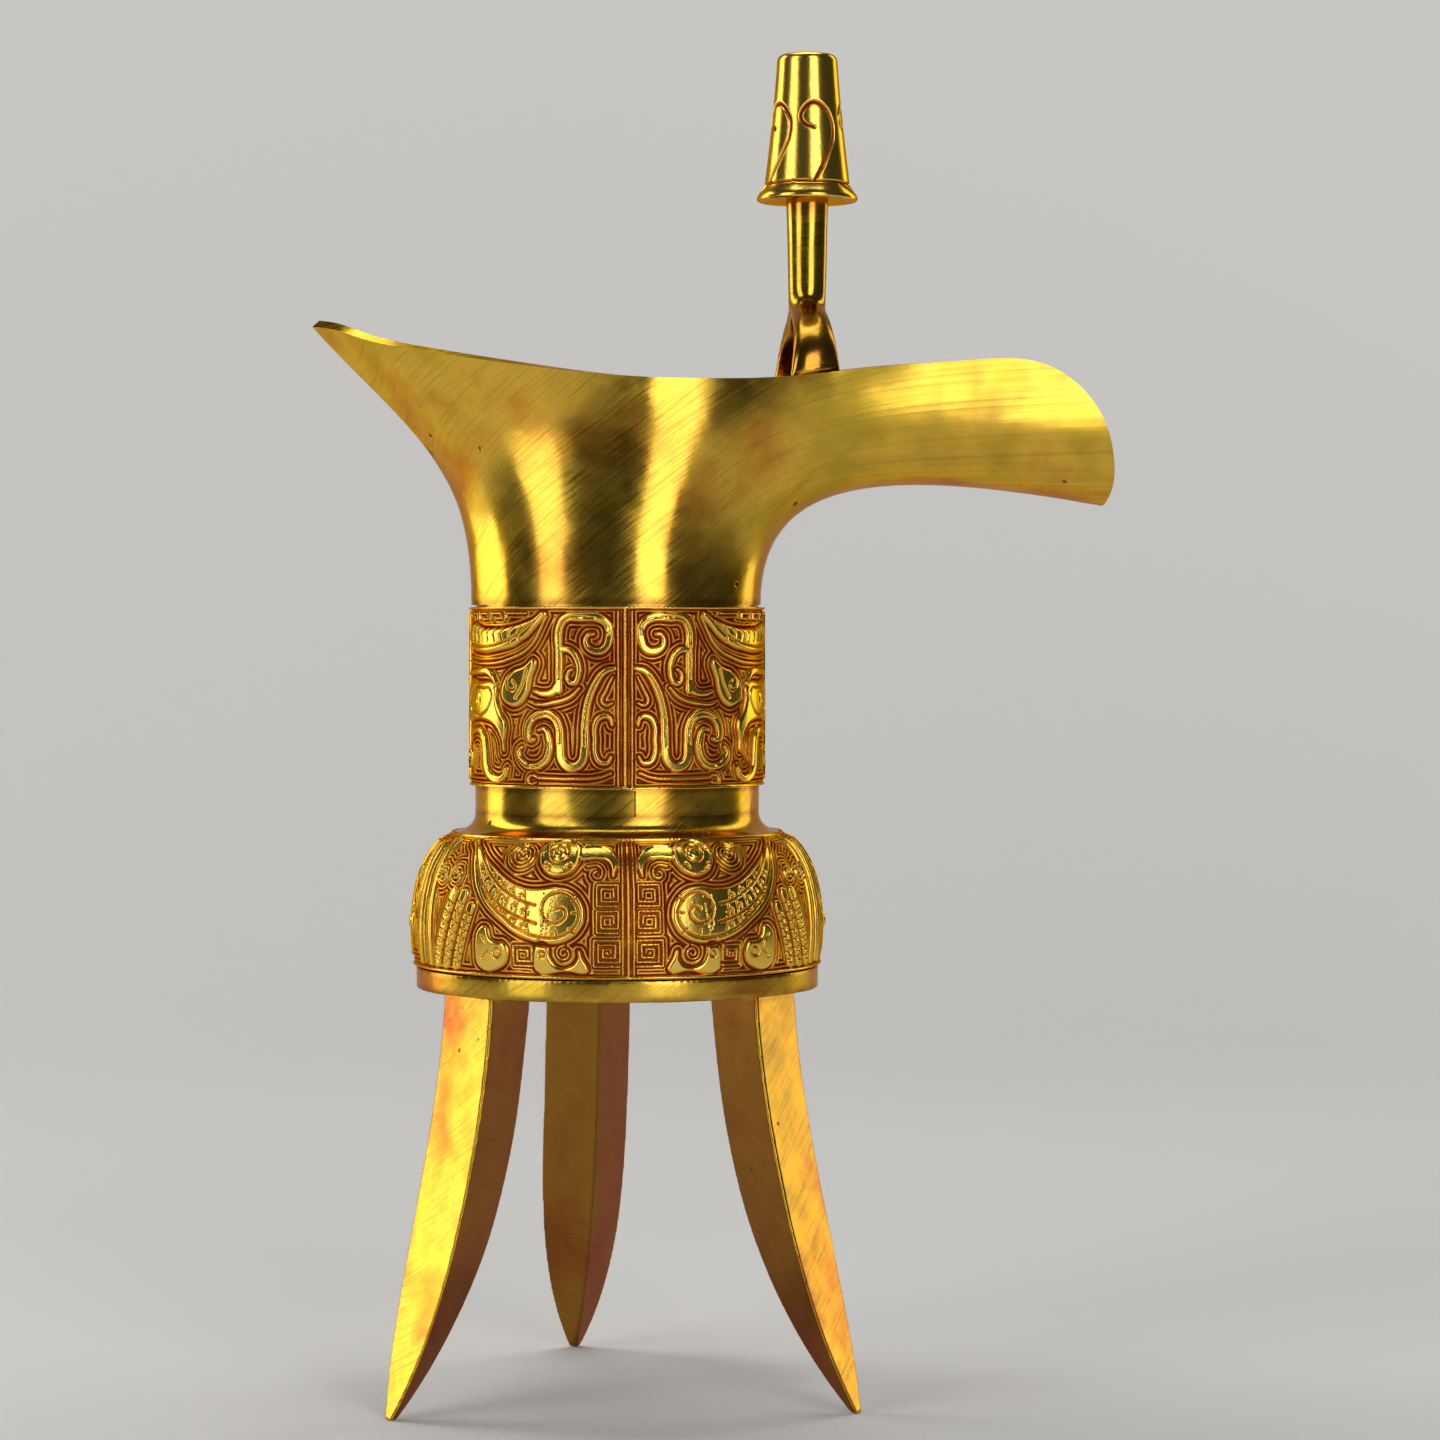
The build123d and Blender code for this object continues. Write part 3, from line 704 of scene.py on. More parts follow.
    def _wrap(self, spot: Socket, height: Socket) -> Socket:
        """Takes a panel's point to its place on the turned face.

        Args:
            spot: the point in the panel.
            height: its carved height over the ground.

        Returns:
            The point on the object.
        """
        graph, given, add = self.graph, self.given, self.graph.add
        axes = add("ShaderNodeSeparateXYZ", {0: spot}).outputs
        up = graph.math("DIVIDE", axes["Y"], given["Rise"])
        section = {"Curves": self._drawn("Profile"), "Factor": up}
        sample = add("GeometryNodeSampleCurve", section, mode="FACTOR").outputs
        out = graph.vector("CROSS_PRODUCT", (0.0, 1.0, 0.0), sample["Tangent"])
        lift = graph.math("SUBTRACT", height, given["Ground depth"])
        place = graph.vector("ADD", sample["Position"], graph.vector("SCALE", out, Scale=lift))
        along = graph.math("DIVIDE", axes["X"], given["Run"])
        turn = graph.math("MULTIPLY_ADD", along, given["Sweep"], given["Start"])
        turned = {"Vector": place, "Angle": turn}
        return add("ShaderNodeVectorRotate", turned, rotation_type="Z_AXIS").outputs[0]

    def run(self, name: str, drawing: "Drawing", profile: Profile, values: dict[str, Any]) -> Mesh:
        """Carves one panel.

        Args:
            name: the mesh's name.
            drawing: the strokes to carve.
            profile: the section that the panel follows.
            values: a value for each other named input.

        Returns:
            The panel as a plain mesh.
        """
        curves = drawing.curves(name, profile)
        given = {**curves, "Rise": profile.length() * MM, **values}
        holder = place_object(name, bpy.data.meshes.new(name))
        modifier = holder.modifiers.new("carve", "NODES")
        modifier.node_group = self.tree
        for item in self.tree.interface.items_tree:
            if item.in_out == "INPUT" and item.name in given:
                modifier[item.identifier] = given[item.name]
        mesh = converted(holder, name, values["Material"])
        for curve in curves.values():
            bpy.data.objects.remove(curve)
        mesh.polygons.foreach_set("material_index", [0] * len(mesh.polygons))
        return mesh


def add_piece(name: str, mesh: Mesh, nodes: Sequence[str]) -> Object:
    """Places a finished mesh as a piece of the vessel.

    Args:
        name: the piece's name.
        mesh: its mesh, in place.
        nodes: the CAD nodes that it stands for.

    Returns:
        The piece.
    """
    piece = place_object(name, mesh)
    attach(piece, BODY)
    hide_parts(*nodes)
    log.info("%s: %d faces", name, len(mesh.polygons))
    return piece


@dataclass
class Drawing:
    """The strokes of one carved panel, by how they stand on its ground."""

    straps: tuple[Stroke, ...] = ()
    fills: tuple[Stroke, ...] = ()
    ridges: tuple[Stroke, ...] = ()
    cuts: tuple[Stroke, ...] = ()

    def curves(self, name: str, profile: Profile) -> dict[str, Object]:
        """Draws the strokes and the section, as an object for each of the carving tree's drawings."""
        kinds = {"Straps": self.straps, "Fills": self.fills, "Ridges": self.ridges, "Cuts": self.cuts}
        curves = {kind: curve_object(f"{name}_{kind}", strokes) for kind, strokes in kinds.items()}
        return {"Profile": profile.curve(f"{name}_section"), **curves}


@dataclass
class Belt:
    """A relief belt: four mirrored quarter panels round the vessel."""

    name: str
    node: str
    wall: float
    step: float = 0.139
    strap_height: float = 0.78
    strap_edge: float = 0.5
    fill_height: float = 0.72
    fill_edge: float = 0.9
    ridge_height: float = 0.2
    line_height: float = 0.42
    line_pitch: float = 0.78
    cut_depth: float = 0.5
    ground_depth: float = 0.98
    back_rows: int = 8

    def section(self) -> Profile:
        """The belt's outer section."""
        raise NotImplementedError

    def radius(self) -> float:
        """The radius at which the drawing's millimetres are true."""
        raise NotImplementedError

    def drawing(self, half: Half) -> Drawing:
        """The carving of one quarter, outwards from the middle of the front or the rear."""
        raise NotImplementedError

    def build(self, relief: TurnedRelief, finish: Material) -> None:
        """Carves and places the quarters.

        Args:
            relief: the carving tree.
            finish: the material.
        """
        profile = self.section()
        run = self.radius() * math.pi / 2
        columns, rows = (int(length / self.step) for length in (run, profile.length()))
        sizes = {name.replace("_", " ").capitalize(): getattr(self, name) * MM for name in CARVING_SIZES}
        for seed, (half, side) in enumerate((h, s) for h in Half for s in ("left", "right")):
            front = half is Half.FRONT
            start = math.pi / 2 * (-1 if front else 1)
            sweep = math.pi / 2 * (-1 if front == (side == "left") else 1)
            counts = {"Columns": columns, "Rows": rows, "Seed": seed}
            values = {**sizes, **counts, "Run": run * MM, "Start": start, "Sweep": sweep, "Material": finish}
            name = f"{self.name}_{half.value}_{side}"
            mesh = relief.run(name, self.drawing(half), profile, values)
            self._close(mesh, profile, columns, rows, start, sweep)
            add_piece(name, mesh, [f"{self.node}_{half.value}"])

    def _close(self, mesh: Mesh, profile: Profile, columns: int, rows: int, start: float, sweep: float) -> None:
        """Gives a carved panel its back and its edges.

        Args:
            mesh: the carved panel.
            profile: the section that it follows.
            columns: its points round the axis.
            rows: its points up the section.
            start: the angle of its first column.
            sweep: the angle that it covers.
        """
        shell = bmesh.new()
        shell.from_mesh(mesh)
        shell.verts.ensure_lookup_table()
        face = [[shell.verts[c * rows + r] for r in range(rows)] for c in range(columns)]
        last = self.back_rows - 1
        back = []
        for c in range(columns):
            angle = start + sweep * c / (columns - 1)
            strip = []
            for r in range(self.back_rows):
                radius, height = profile.under(r / last, self.wall)
                spot = (radius * math.cos(angle), radius * math.sin(angle), height)
                strip.append(shell.verts.new(Vector(spot) * MM))
            back.append(strip)
        rings = []
        for a, b, p, q in zip(face, face[1:], back, back[1:]):
            rings.append((b[0], a[0], p[0], q[0]))
            rings.append((a[-1], b[-1], q[last], p[last]))
            for r in range(last):
                rings.append((p[r], p[r + 1], q[r + 1], q[r]))
        rings.append(tuple(face[0]) + tuple(reversed(back[0])))
        rings.append(tuple(reversed(face[-1])) + tuple(back[-1]))
        for ring in rings:
            shell.faces.new(ring if sweep > 0 else tuple(reversed(ring)))
        shell.to_mesh(mesh)
        shell.free()


@dataclass
class NeckBelt(Belt):
    """The neck's belt: hooked straps by the middle ridge and half an animal mask at each side."""

    name: str = "neck_relief"
    node: str = "neck_band"
    wall: float = 1.4
    edge: float = 0.7
    chamfer: float = 0.35

    def radius(self) -> float:
        """The belt's outer radius."""
        return -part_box(f"{self.node}_front")[0].y / MM

    def section(self) -> Profile:
        """A straight face with softly rounded edges."""
        low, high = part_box(f"{self.node}_front")
        radius, foot, top = self.radius(), low.z / MM, high.z / MM
        inner, soft = radius - self.chamfer, self.edge
        spans = (
            straight((inner, foot), (radius, foot + soft)),
            straight((radius, foot + soft), (radius, top - soft)),
            straight((radius, top - soft), (inner, top)),
        )
        return Profile(spans)

    def drawing(self, half: Half) -> Drawing:
        """The hooks, the horn, the ear and the mask of one quarter, with the handle's seat at the rear."""
        straps = (
            Stroke(((0, 0.3), (0, 32)), (0.5,)),
            Stroke(((1.25, 0.9), (1.25, 31.4)), (0.3,)),
            Stroke(((0, 0.3), (42.3, 0.3)), (0.4,)),
            Stroke(((0, 32.2), (42.3, 32.2)), (0.4,)),
            Stroke(
                ((12, 17.6), (12, 24), (11.9, 28.4), (10.9, 30), (8, 30.3), (4.6, 30.1), (3, 28.8),
                 (2.9, 26.4), (4, 24.6), (5.8, 24.5), (7, 25.6), (6.7, 27.2), (5.6, 27.4)),
                (0.9, 1, 1, 0.95, 0.9, 0.7, 0.5),
            ),
            Stroke(
                ((11.6, 24.8), (9.8, 24.4), (8.6, 22.8), (8.4, 20.2), (9.3, 18.8), (10.4, 19.4),
                 (10.2, 20.8), (9.6, 21.2)),
                (0.75, 0.75, 0.7, 0.6, 0.4),
            ),
            Stroke(((12.2, 18.4), (13.2, 17.3), (15.2, 17), (17, 17.4)), (0.95, 0.8, 0.55)),
            Stroke(((8.2, 18), (9.8, 16.5), (13, 15.5), (16.4, 15.2), (18.2, 15.7)), (0.4, 0.6, 0.6, 0.4)),
            Stroke(
                ((1.9, 21.4), (3.6, 20.9), (5.4, 18.6), (6.6, 15.6), (7.2, 12), (7.3, 7.6), (7.9, 5.1),
                 (9.6, 4.2), (11.3, 5.2), (11.8, 8.4), (12.1, 11.4), (13.3, 13.1), (15.6, 13.4),
                 (17.7, 12.3), (18.6, 10.3), (18, 8.9), (17.2, 9)),
                (0.6, 0.9, 1, 1.05, 1.05, 1, 0.85, 0.55),
            ),
            Stroke(
                ((16.2, 10.6), (14.9, 10.8), (14.1, 9.4), (14, 6.8), (15.3, 4.8), (17.6, 4.2), (19.8, 5.1),
                 (20.6, 6.8), (19.9, 7.6)),
                (0.45, 0.65, 0.85, 0.85, 0.8, 0.65, 0.4),
            ),
            Stroke(
                ((2.3, 11.6), (2.8, 12.9), (4.3, 13), (5.3, 11.8), (5.4, 9), (5.3, 6.4), (4.5, 5.1),
                 (3.2, 5), (2.5, 6)),
                (0.5, 0.7, 0.65, 0.65, 0.5),
            ),
            Stroke(((2.2, 20), (3.4, 17.6), (4.1, 15.6), (3.2, 15), (2.3, 15.4)), (0.25, 0.5, 0.45, 0.3)),
            Stroke(((16.2, 2.3), (10, 2.2), (5, 2.4), (2.6, 3.2)), (0.5, 0.45, 0.4)),
            Stroke(((16.2, 2.3), (17.5, 2.7), (18.4, 1.9), (17.6, 1.2), (16.8, 1.5)), (0.4, 0.35)),
            Stroke(
                ((39.5, 22.6), (30, 22.2), (23.2, 22.9), (18, 25.2), (14.5, 30.4)),
                (0.3, 0.4, 0.4, 0.35, 0.25),
            ),
            Stroke(((40, 20.3), (33.5, 20.8), (28.6, 20.4), (26.8, 18.7)), (0.5, 0.75, 0.75, 0.5)),
            Stroke(
                ((38.4, 9.6), (34.2, 10.4), (31.4, 9.4), (30.5, 6.8), (29.8, 3.6), (27.2, 1.9), (24.6, 2.3),
                 (23.7, 3.7)),
                (0.4, 0.85, 0.95, 0.95, 0.9, 0.6),
            ),
            Stroke(((42.3, 2.2), (42.3, 30.6)), (1.5, 1.7, 1.5, 1.2)),
            Stroke(((40.4, 4.4), (38.6, 4), (37.6, 5.4), (38.6, 6.8), (40, 6.4)), (0.4,)),
            Stroke(((37.5, 31), (34, 31), (34, 30), (35.6, 30)), (0.24,), Corner.SQUARE),
            Stroke(((32.8, 30), (32.8, 31), (29.5, 31), (29.5, 30), (31.2, 30)), (0.24,), Corner.SQUARE),
            Stroke(((28.3, 30), (28.3, 31), (25, 31), (25, 30.1), (26.7, 30.1)), (0.24,), Corner.SQUARE),
            Stroke(((23.8, 30.2), (23.8, 31), (19, 31)), (0.24,), Corner.SQUARE),
        )
        horn = Stroke(
            ((38.8, 29), (30, 28.6), (22.4, 28.9), (17.8, 30.2), (14.6, 31.4), (16.4, 28.4), (20.4, 25.6),
             (26, 24.2), (33, 23.9), (39, 25.2), (40.2, 27.2)),
            closed=True,
        )
        ear = Stroke(
            ((16.9, 23.2), (17.5, 19.4), (18.4, 16.6), (20.7, 14.6), (23.4, 14.7), (25.3, 16.2), (24.9, 19),
             (22.8, 20.9), (19.8, 21.9)),
            closed=True,
        )
        face = Stroke(
            ((26.3, 18), (28.2, 19), (33, 19.2), (39.5, 18.9), (40.6, 15), (40.3, 11.8), (36, 12),
             (31, 11.9), (27.5, 11), (25.4, 8.6), (24.6, 6.4), (23.9, 9), (23.6, 11.8), (25.2, 13.6),
             (26.2, 15.6)),
            closed=True,
        )
        eye = Stroke(
            ((28, 17.2), (31.5, 17.9), (36, 17.5), (38.4, 15.4), (35, 13.4), (31, 13.4), (28.8, 14.8)),
            (0.28,),
            closed=True,
        )
        joints = []
        for index in range(8):
            u = 20.2 + 2.2 * index
            joints.append(Stroke(((u - 0.5, 28.6), (u + 0.5, 27.6), (u + 0.2, 26.2)), (0.26,)))
        cuts = (
            *joints,
            Stroke(((39.6, 26), (33, 25.2), (26.5, 25.5), (21.6, 26.9), (17.6, 29.4)), (0.24,)),
            Stroke(((22, 20.8), (23.4, 19.2), (22.6, 17.6), (21.2, 18.2), (21.8, 19.2)), (0.26,)),
            Stroke(((18.6, 21.2), (19.6, 18.4), (21.2, 16.2)), (0.26,)),
            Stroke(((12, 19.6), (12, 24), (11.9, 28.2), (10.7, 29.9), (8, 30.3), (5.4, 30.2)), (0.17,)),
            Stroke(((4.2, 20.3), (5.4, 18.6), (6.6, 15.6), (7.2, 12), (7.3, 8)), (0.17,)),
            Stroke(((11.8, 8.4), (12.1, 11.4), (13.3, 13.1), (15.6, 13.4), (17.2, 12.6)), (0.17,)),
            Stroke(((14.1, 8.4), (14.1, 6.7), (15.4, 4.9), (17.6, 4.3)), (0.17,)),
            eye,
        )
        ridges = (
            spiral((33.2, 15.6), 0.5, 0.9, 1, width=0.7),
            Stroke(((2.9, 27.4), (3, 29), (4.6, 30.1), (8, 30.3)), (0.2,)),
        )
        seat = Stroke(((-1, 13), (8, 13), (8, 33), (-1, 33)), (1,), Corner.SQUARE, True)
        fills = (horn, ear, face) if half is Half.FRONT else (horn, ear, face, seat)
        return Drawing(straps, fills, ridges, cuts)


@dataclass
class BellyBelt(Belt):
    """The belly's belt: two long-tailed birds that face the middle, among squared spirals."""

    name: str = "belly_relief"
    node: str = "belly_band"
    wall: float = 1.15
    mean_radius: float = 37.4
    strap_height: float = 0.66
    fill_height: float = 0.62
    fill_edge: float = 0.75
    ridge_height: float = 0.36
    line_height: float = 0.4
    cut_depth: float = 0.42

    def radius(self) -> float:
        """The mean radius of the belt's face."""
        return self.mean_radius

    def section(self) -> Profile:
        """The belly's swell, from the base ring to the shoulder."""
        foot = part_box(f"{self.node}_front")[0].z / MM
        return Profile((((37, foot), (38.7, foot + 11), (36.3, foot + 22.5), (29.2, foot + 24.5)),))

    def drawing(self, half: Half) -> Drawing:
        """One bird with its wing, its foot and the strips behind it."""
        plumes = (
            ((30.7, 12.2), (32, 8.6), (33.4, 4.8), (34.7, 1.3)),
            ((32.9, 14.4), (34.5, 10), (36.1, 5.6), (37.7, 1.3)),
            ((35.7, 14.6), (37.4, 10), (39.1, 5.6), (40.7, 1.3)),
        )
        lower_vane = (
            (16.6, 9.7), (19.1, 10.4), (21.8, 11.4), (24.7, 13), (27.2, 15), (29.3, 17.4), (31.4, 20.4),
            (34.6, 24.4),
        )
        upper_vane = (
            (16.9, 12.9), (19.2, 13.4), (21.9, 14.6), (24.7, 16.2), (27.2, 18.2), (29.5, 20.6), (32.3, 23.4),
        )
        wing_rim = (
            (35.4, 25), (33, 22.5), (31.1, 19.5), (29, 16.3), (26.4, 13.1), (22.9, 10.5), (19.6, 8.5),
            (14, 7.2), (11.1, 7.9), (9.4, 9.4), (8.8, 11.6), (9.5, 13.4), (11, 14.8), (12.9, 15.1),
            (14.7, 14.2), (15.5, 12.4), (15, 10.7), (13.4, 9.8), (11.9, 10.2), (11.1, 11.4), (11.7, 12.5),
            (13, 12.3),
        )
        wing_back = (
            (16.4, 15.3), (19.6, 15.5), (22.4, 16.3), (24.8, 17.6), (27.2, 19.3), (29.9, 21.2), (33, 23.6),
        )
        straps = (
            Stroke(((0, 0.3), (0, 27)), (0.4,)),
            Stroke(((1, 0.9), (1, 26.4)), (0.26,)),
            Stroke(((0, 0.3), (58.8, 0.3)), (0.4,)),
            Stroke(((0, 27), (58.8, 27)), (0.35,)),
            Stroke(((8.8, 23), (5.8, 23.2), (3.6, 22.4), (2.6, 20.6), (2.7, 18.4)), (1.6, 1.6, 1.3, 0.9, 0.4)),
            Stroke(((7.6, 20.2), (5.6, 20.3), (4.7, 19), (5.4, 17.9), (6.4, 18.6), (5.8, 19.2)), (0.3,)),
            spiral((21, 22.4), 0.3, 2.9, 3.2, 0, 0.26),
            spiral((11.4, 4.6), 0.3, 1.4, 1.7, 200, 0.26),
            square_spiral((3.7, 14.8), 1.9, 0.8),
            square_spiral((3.7, 10.1), 1.9, 0.8),
            square_spiral((3.8, 4.6), 2.3, 0.8),
            square_spiral((19.2, 4), 1.8, 0.8),
            spiral((36.2, 17.9), 0.3, 2, 2.3, 0, 0.25),
            spiral((40.7, 17.9), 0.3, 1.9, 2.2, 0, 0.25),
            *(Stroke(plume, (1.1,)) for plume in plumes),
            Stroke(((43.4, 25.8), (43, 1.4)), (0.8,)),
            Stroke(((45.9, 25.8), (45.5, 1.4)), (0.35,)),
            Stroke(((48.2, 24), (47.8, 1.4)), (0.8,)),
            Stroke(((50.6, 23), (50.2, 14), (51.4, 11.4), (53.4, 11), (54.8, 12.6)), (0.7, 0.7, 0.6, 0.4)),
            Stroke(((58.8, 3), (58.8, 24)), (1.5, 1.8, 1.6)),
        )
        wing = Stroke(
            ((13.9, 5.9), (20, 7.2), (23.7, 9.4), (27.4, 12), (30.3, 15.5), (32.4, 19.3), (34.5, 22.8),
             (37.6, 26.2), (33, 24.1), (29.9, 21.9), (27, 20), (24.4, 18.3), (22.2, 17.1), (19.6, 16.3),
             (16.6, 16.1), (13.2, 16.5), (10.4, 15.9), (8.3, 14), (7.5, 11.6), (8.1, 8.9), (10.3, 6.8)),
            closed=True,
        )
        claw = Stroke(
            ((16.6, 6), (14.1, 5.8), (13.7, 3.9), (12.4, 2.4), (10.4, 2.5), (9.3, 3.7), (8.9, 5.4),
             (7.7, 3.6), (6.9, 1.3), (11, 1.1), (16.8, 1.1), (17.3, 3.4)),
            closed=True,
        )
        creature = Stroke(
            ((28.4, 8.8), (26.6, 9), (25.4, 6.8), (22.6, 6.2), (21.9, 3.6), (23.4, 1.6), (28.8, 1.4),
             (29.6, 4.8)),
            closed=True,
        )
        fills = (disc((13.1, 22.3), 4.5), wing, claw, creature, disc((55.6, 8), 2.3), disc((54.6, 17.4), 1.9))
        ridges = (
            spiral((13.1, 22.3), 3.9, 3.9, 1, width=0.35),
            spiral((13.3, 22.9), 0.3, 0.8, 1, width=0.75),
            Stroke(((8.4, 24.2), (5.6, 24.4), (3, 23.2)), (0.3,)),
            spiral((55.6, 8), 0.4, 0.6, 1, width=0.6),
        )
        ticks = [
            *barbs(tuple(reversed(wing_rim[:8])), lower_vane, 7, 0.8),
            *barbs(lower_vane, upper_vane, 6, 0.8),
            *barbs(upper_vane, wing_back, 4, 0.7),
        ]
        for plume in plumes:
            ticks += barbs([(u - 1, v - 0.4) for u, v in plume], [(u + 1, v + 0.4) for u, v in plume], 7)
        curl_ticks = (
            ((9.9, 11.6), (8.6, 11.7)), ((10.5, 8.9), (9.5, 8)), ((12.9, 8.6), (12.6, 7.2)),
            ((9.9, 13.8), (9, 14.5)),
        )
        ticks += [Stroke(tick, (0.2,)) for tick in curl_ticks]
        cuts = (
            *ticks,
            Stroke(wing_rim, (0.28,)),
            Stroke(lower_vane, (0.34, 0.34, 0.26)),
            Stroke(upper_vane, (0.34, 0.34, 0.26)),
            spiral((15.4, 4.4), 0.5, 0.5, 1, width=0.2),
            spiral((13.3, 22.9), 1.9, 1.9, 1, width=0.24),
            spiral((24.4, 4.4), 0.8, 0.8, 1, width=0.24),
            Stroke(((15.8, 20.6), (14.8, 19.6), (15.6, 19.2)), (0.24,)),
            Stroke(((11.8, 19.6), (11, 20.6), (10.6, 19.8)), (0.24,)),
            Stroke(((16.2, 23.6), (15.8, 25), (14.6, 25.2)), (0.22,)),
            Stroke(((27.6, 7.2), (26.2, 5.4), (27.6, 3.4)), (0.24,)),
        )
        return Drawing(straps, fills, ridges, cuts)


@dataclass
class PostCap:
    """The tall cap on the post: hooked scrolls cut round its side over a flared lip."""

    node: str = "post_cap"
    lip: float = 9.1
    waist: float = 7.7
    shoulder: float = 5.45
    dish: float = 1.4
    scrolls: int = 5
    first_scroll: float = -81.0
    columns: int = 310
    rows: int = 240
    skin: float = 0.5
    groove: float = 0.5
    margin: float = 5.0
    sheet_edge: float = 0.1
    wobble: float = 0.35

    def section(self) -> Profile:
        """The outline from the middle of the underside, round the lip and up to the crown."""
        low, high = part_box(self.node)
        foot, top = low.z / MM, high.z / MM
        lip, waist, neck = self.lip, self.waist, self.shoulder
        spans = (
            straight((0.0, foot + self.dish), (lip - 1.0, foot + 0.25)),
            ((lip - 1.0, foot + 0.25), (lip - 0.5, foot + 0.02), (lip - 0.02, foot + 0.1), (lip, foot + 0.7)),
            ((lip, foot + 0.7), (lip - 0.1, foot + 1.4), (waist + 0.5, foot + 2.0), (waist, foot + 3.1)),
            ((waist, foot + 3.1), (waist - 0.8, foot + 9.0), (neck + 0.3, top - 7.0), (neck, top - 1.5)),
            ((neck, top - 1.5), (neck - 0.05, top - 0.5), (neck - 0.5, top - 0.1), (neck - 1.5, top - 0.07)),
            straight((neck - 1.5, top - 0.07), (0.0, top - 0.02)),
        )
        return Profile(spans)

    def build(self, relief: TurnedRelief, finish: Material) -> None:
        """Carves and places the cap.

        Args:
            relief: the carving tree.
            finish: the material.
        """
        profile = self.section()
        low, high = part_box(self.node)
        run = math.tau * self.waist
        underside = Profile(profile.controls[:2]).length()
        edge, wide, tall = -self.margin, run + self.margin, profile.length() + self.margin
        sheet = Stroke(((edge, edge), (wide, edge), (wide, tall), (edge, tall)), (1.0,), Corner.SQUARE, True)
        hook = (
            (-0.5, 3.1), (2.3, 7.8), (3.9, 11.2), (3.8, 14.2), (1.8, 16.5), (-0.8, 17.1), (-2.9, 15.9),
            (-3.4, 14.4), (-2.4, 13.2), (-0.4, 12.6),
        )
        cuts = [Stroke(((-1.0, underside + 2.9), (run + 1.0, underside + 2.9)), (0.26,))]
        for index in range(self.scrolls):
            middle = run * ((index + 0.5) / self.scrolls)
            points = tuple((middle + u, underside + v) for u, v in hook)
            cuts.append(Stroke(points, (0.36, 0.42, 0.5, 0.5, 0.45, 0.38)))
        for u, lean in ((9.6, 2.6), (20.5, -1.6), (31.0, 2.0), (42.0, -2.2)):
            cuts.append(Stroke(((u, underside + 2.5), (u + lean, underside + 1.0)), (0.42, 0.34)))
        sizes = {
            "Run": run, "Strap height": self.skin, "Fill height": self.skin, "Fill edge": self.sheet_edge,
            "Line height": 0.0, "Cut depth": self.groove, "Ground depth": self.skin, "Wobble": self.wobble,
        }
        values = {
            **{name: size * MM for name, size in sizes.items()},
            "Start": math.radians(self.first_scroll - 180 / self.scrolls),
            "Sweep": math.tau,
            "Columns": self.columns,
            "Rows": self.rows,
            "Material": finish,
        }
        mesh = relief.run("cap_scrolls", Drawing(fills=(sheet,), cuts=tuple(cuts)), profile, values)
        middle = Vector(((low.x + high.x) / 2, (low.y + high.y) / 2, 0.0))
        for vertex in mesh.vertices:
            vertex.co += middle
        add_piece("cap_scrolls", mesh, [self.node])


@dataclass
class SoftCasting:
    """A CAD node recast with the softened edges and the slight waviness of hand-filed bronze."""

    name: str
    node: str
    slot: Slot
    voxel: float = 0.3
    rounds: int = 8
    sway: float = 0.12
    sway_length: float = 7.0
    fillet: float = 0.0
    ease_rounds: int = 6

    def build(self, finish: Material) -> None:
        """Remeshes a copy of the node, softens it and places it.

        Args:
            finish: the material.
        """
        mesh = bpy.data.meshes.new(self.name)
        shell = welded(self.node)
        shell.to_mesh(mesh)
        shell.free()
        holder = place_object(self.name, mesh)
        self._recast(holder, "cast")
        if self.fillet:
            self._blend(holder)
        holder.modifiers.new("file", "SMOOTH").iterations = self.rounds
        cast = converted(holder, self.name, finish)
        normals = [vertex.normal.copy() for vertex in cast.vertices]
        for vertex, normal in zip(cast.vertices, normals):
            wave = noise.noise(vertex.co / (self.sway_length * MM))
            vertex.co -= normal * (0.5 + 0.5 * wave) * self.sway * MM
        cast.shade_smooth()
        add_piece(self.name, cast, [self.node])

    def _recast(self, holder: Object, name: str) -> None:
        """Adds a new skin of even grain."""
        remesh = holder.modifiers.new(name, "REMESH")
        remesh.mode = "VOXEL"
        remesh.voxel_size = self.voxel * MM

    def _blend(self, holder: Object) -> None:
        """Fills the sharp hollows of a casting: it swells, is recast and shrinks back."""
        for name, step in (("swell", self.fillet), ("shrink", -self.fillet)):
            holder.modifiers.new(f"{name}_ease", "SMOOTH").iterations = self.ease_rounds
            move = holder.modifiers.new(name, "DISPLACE")
            move.mid_level = 0.0
            move.strength = step * MM
            self._recast(holder, f"{name}_cast")


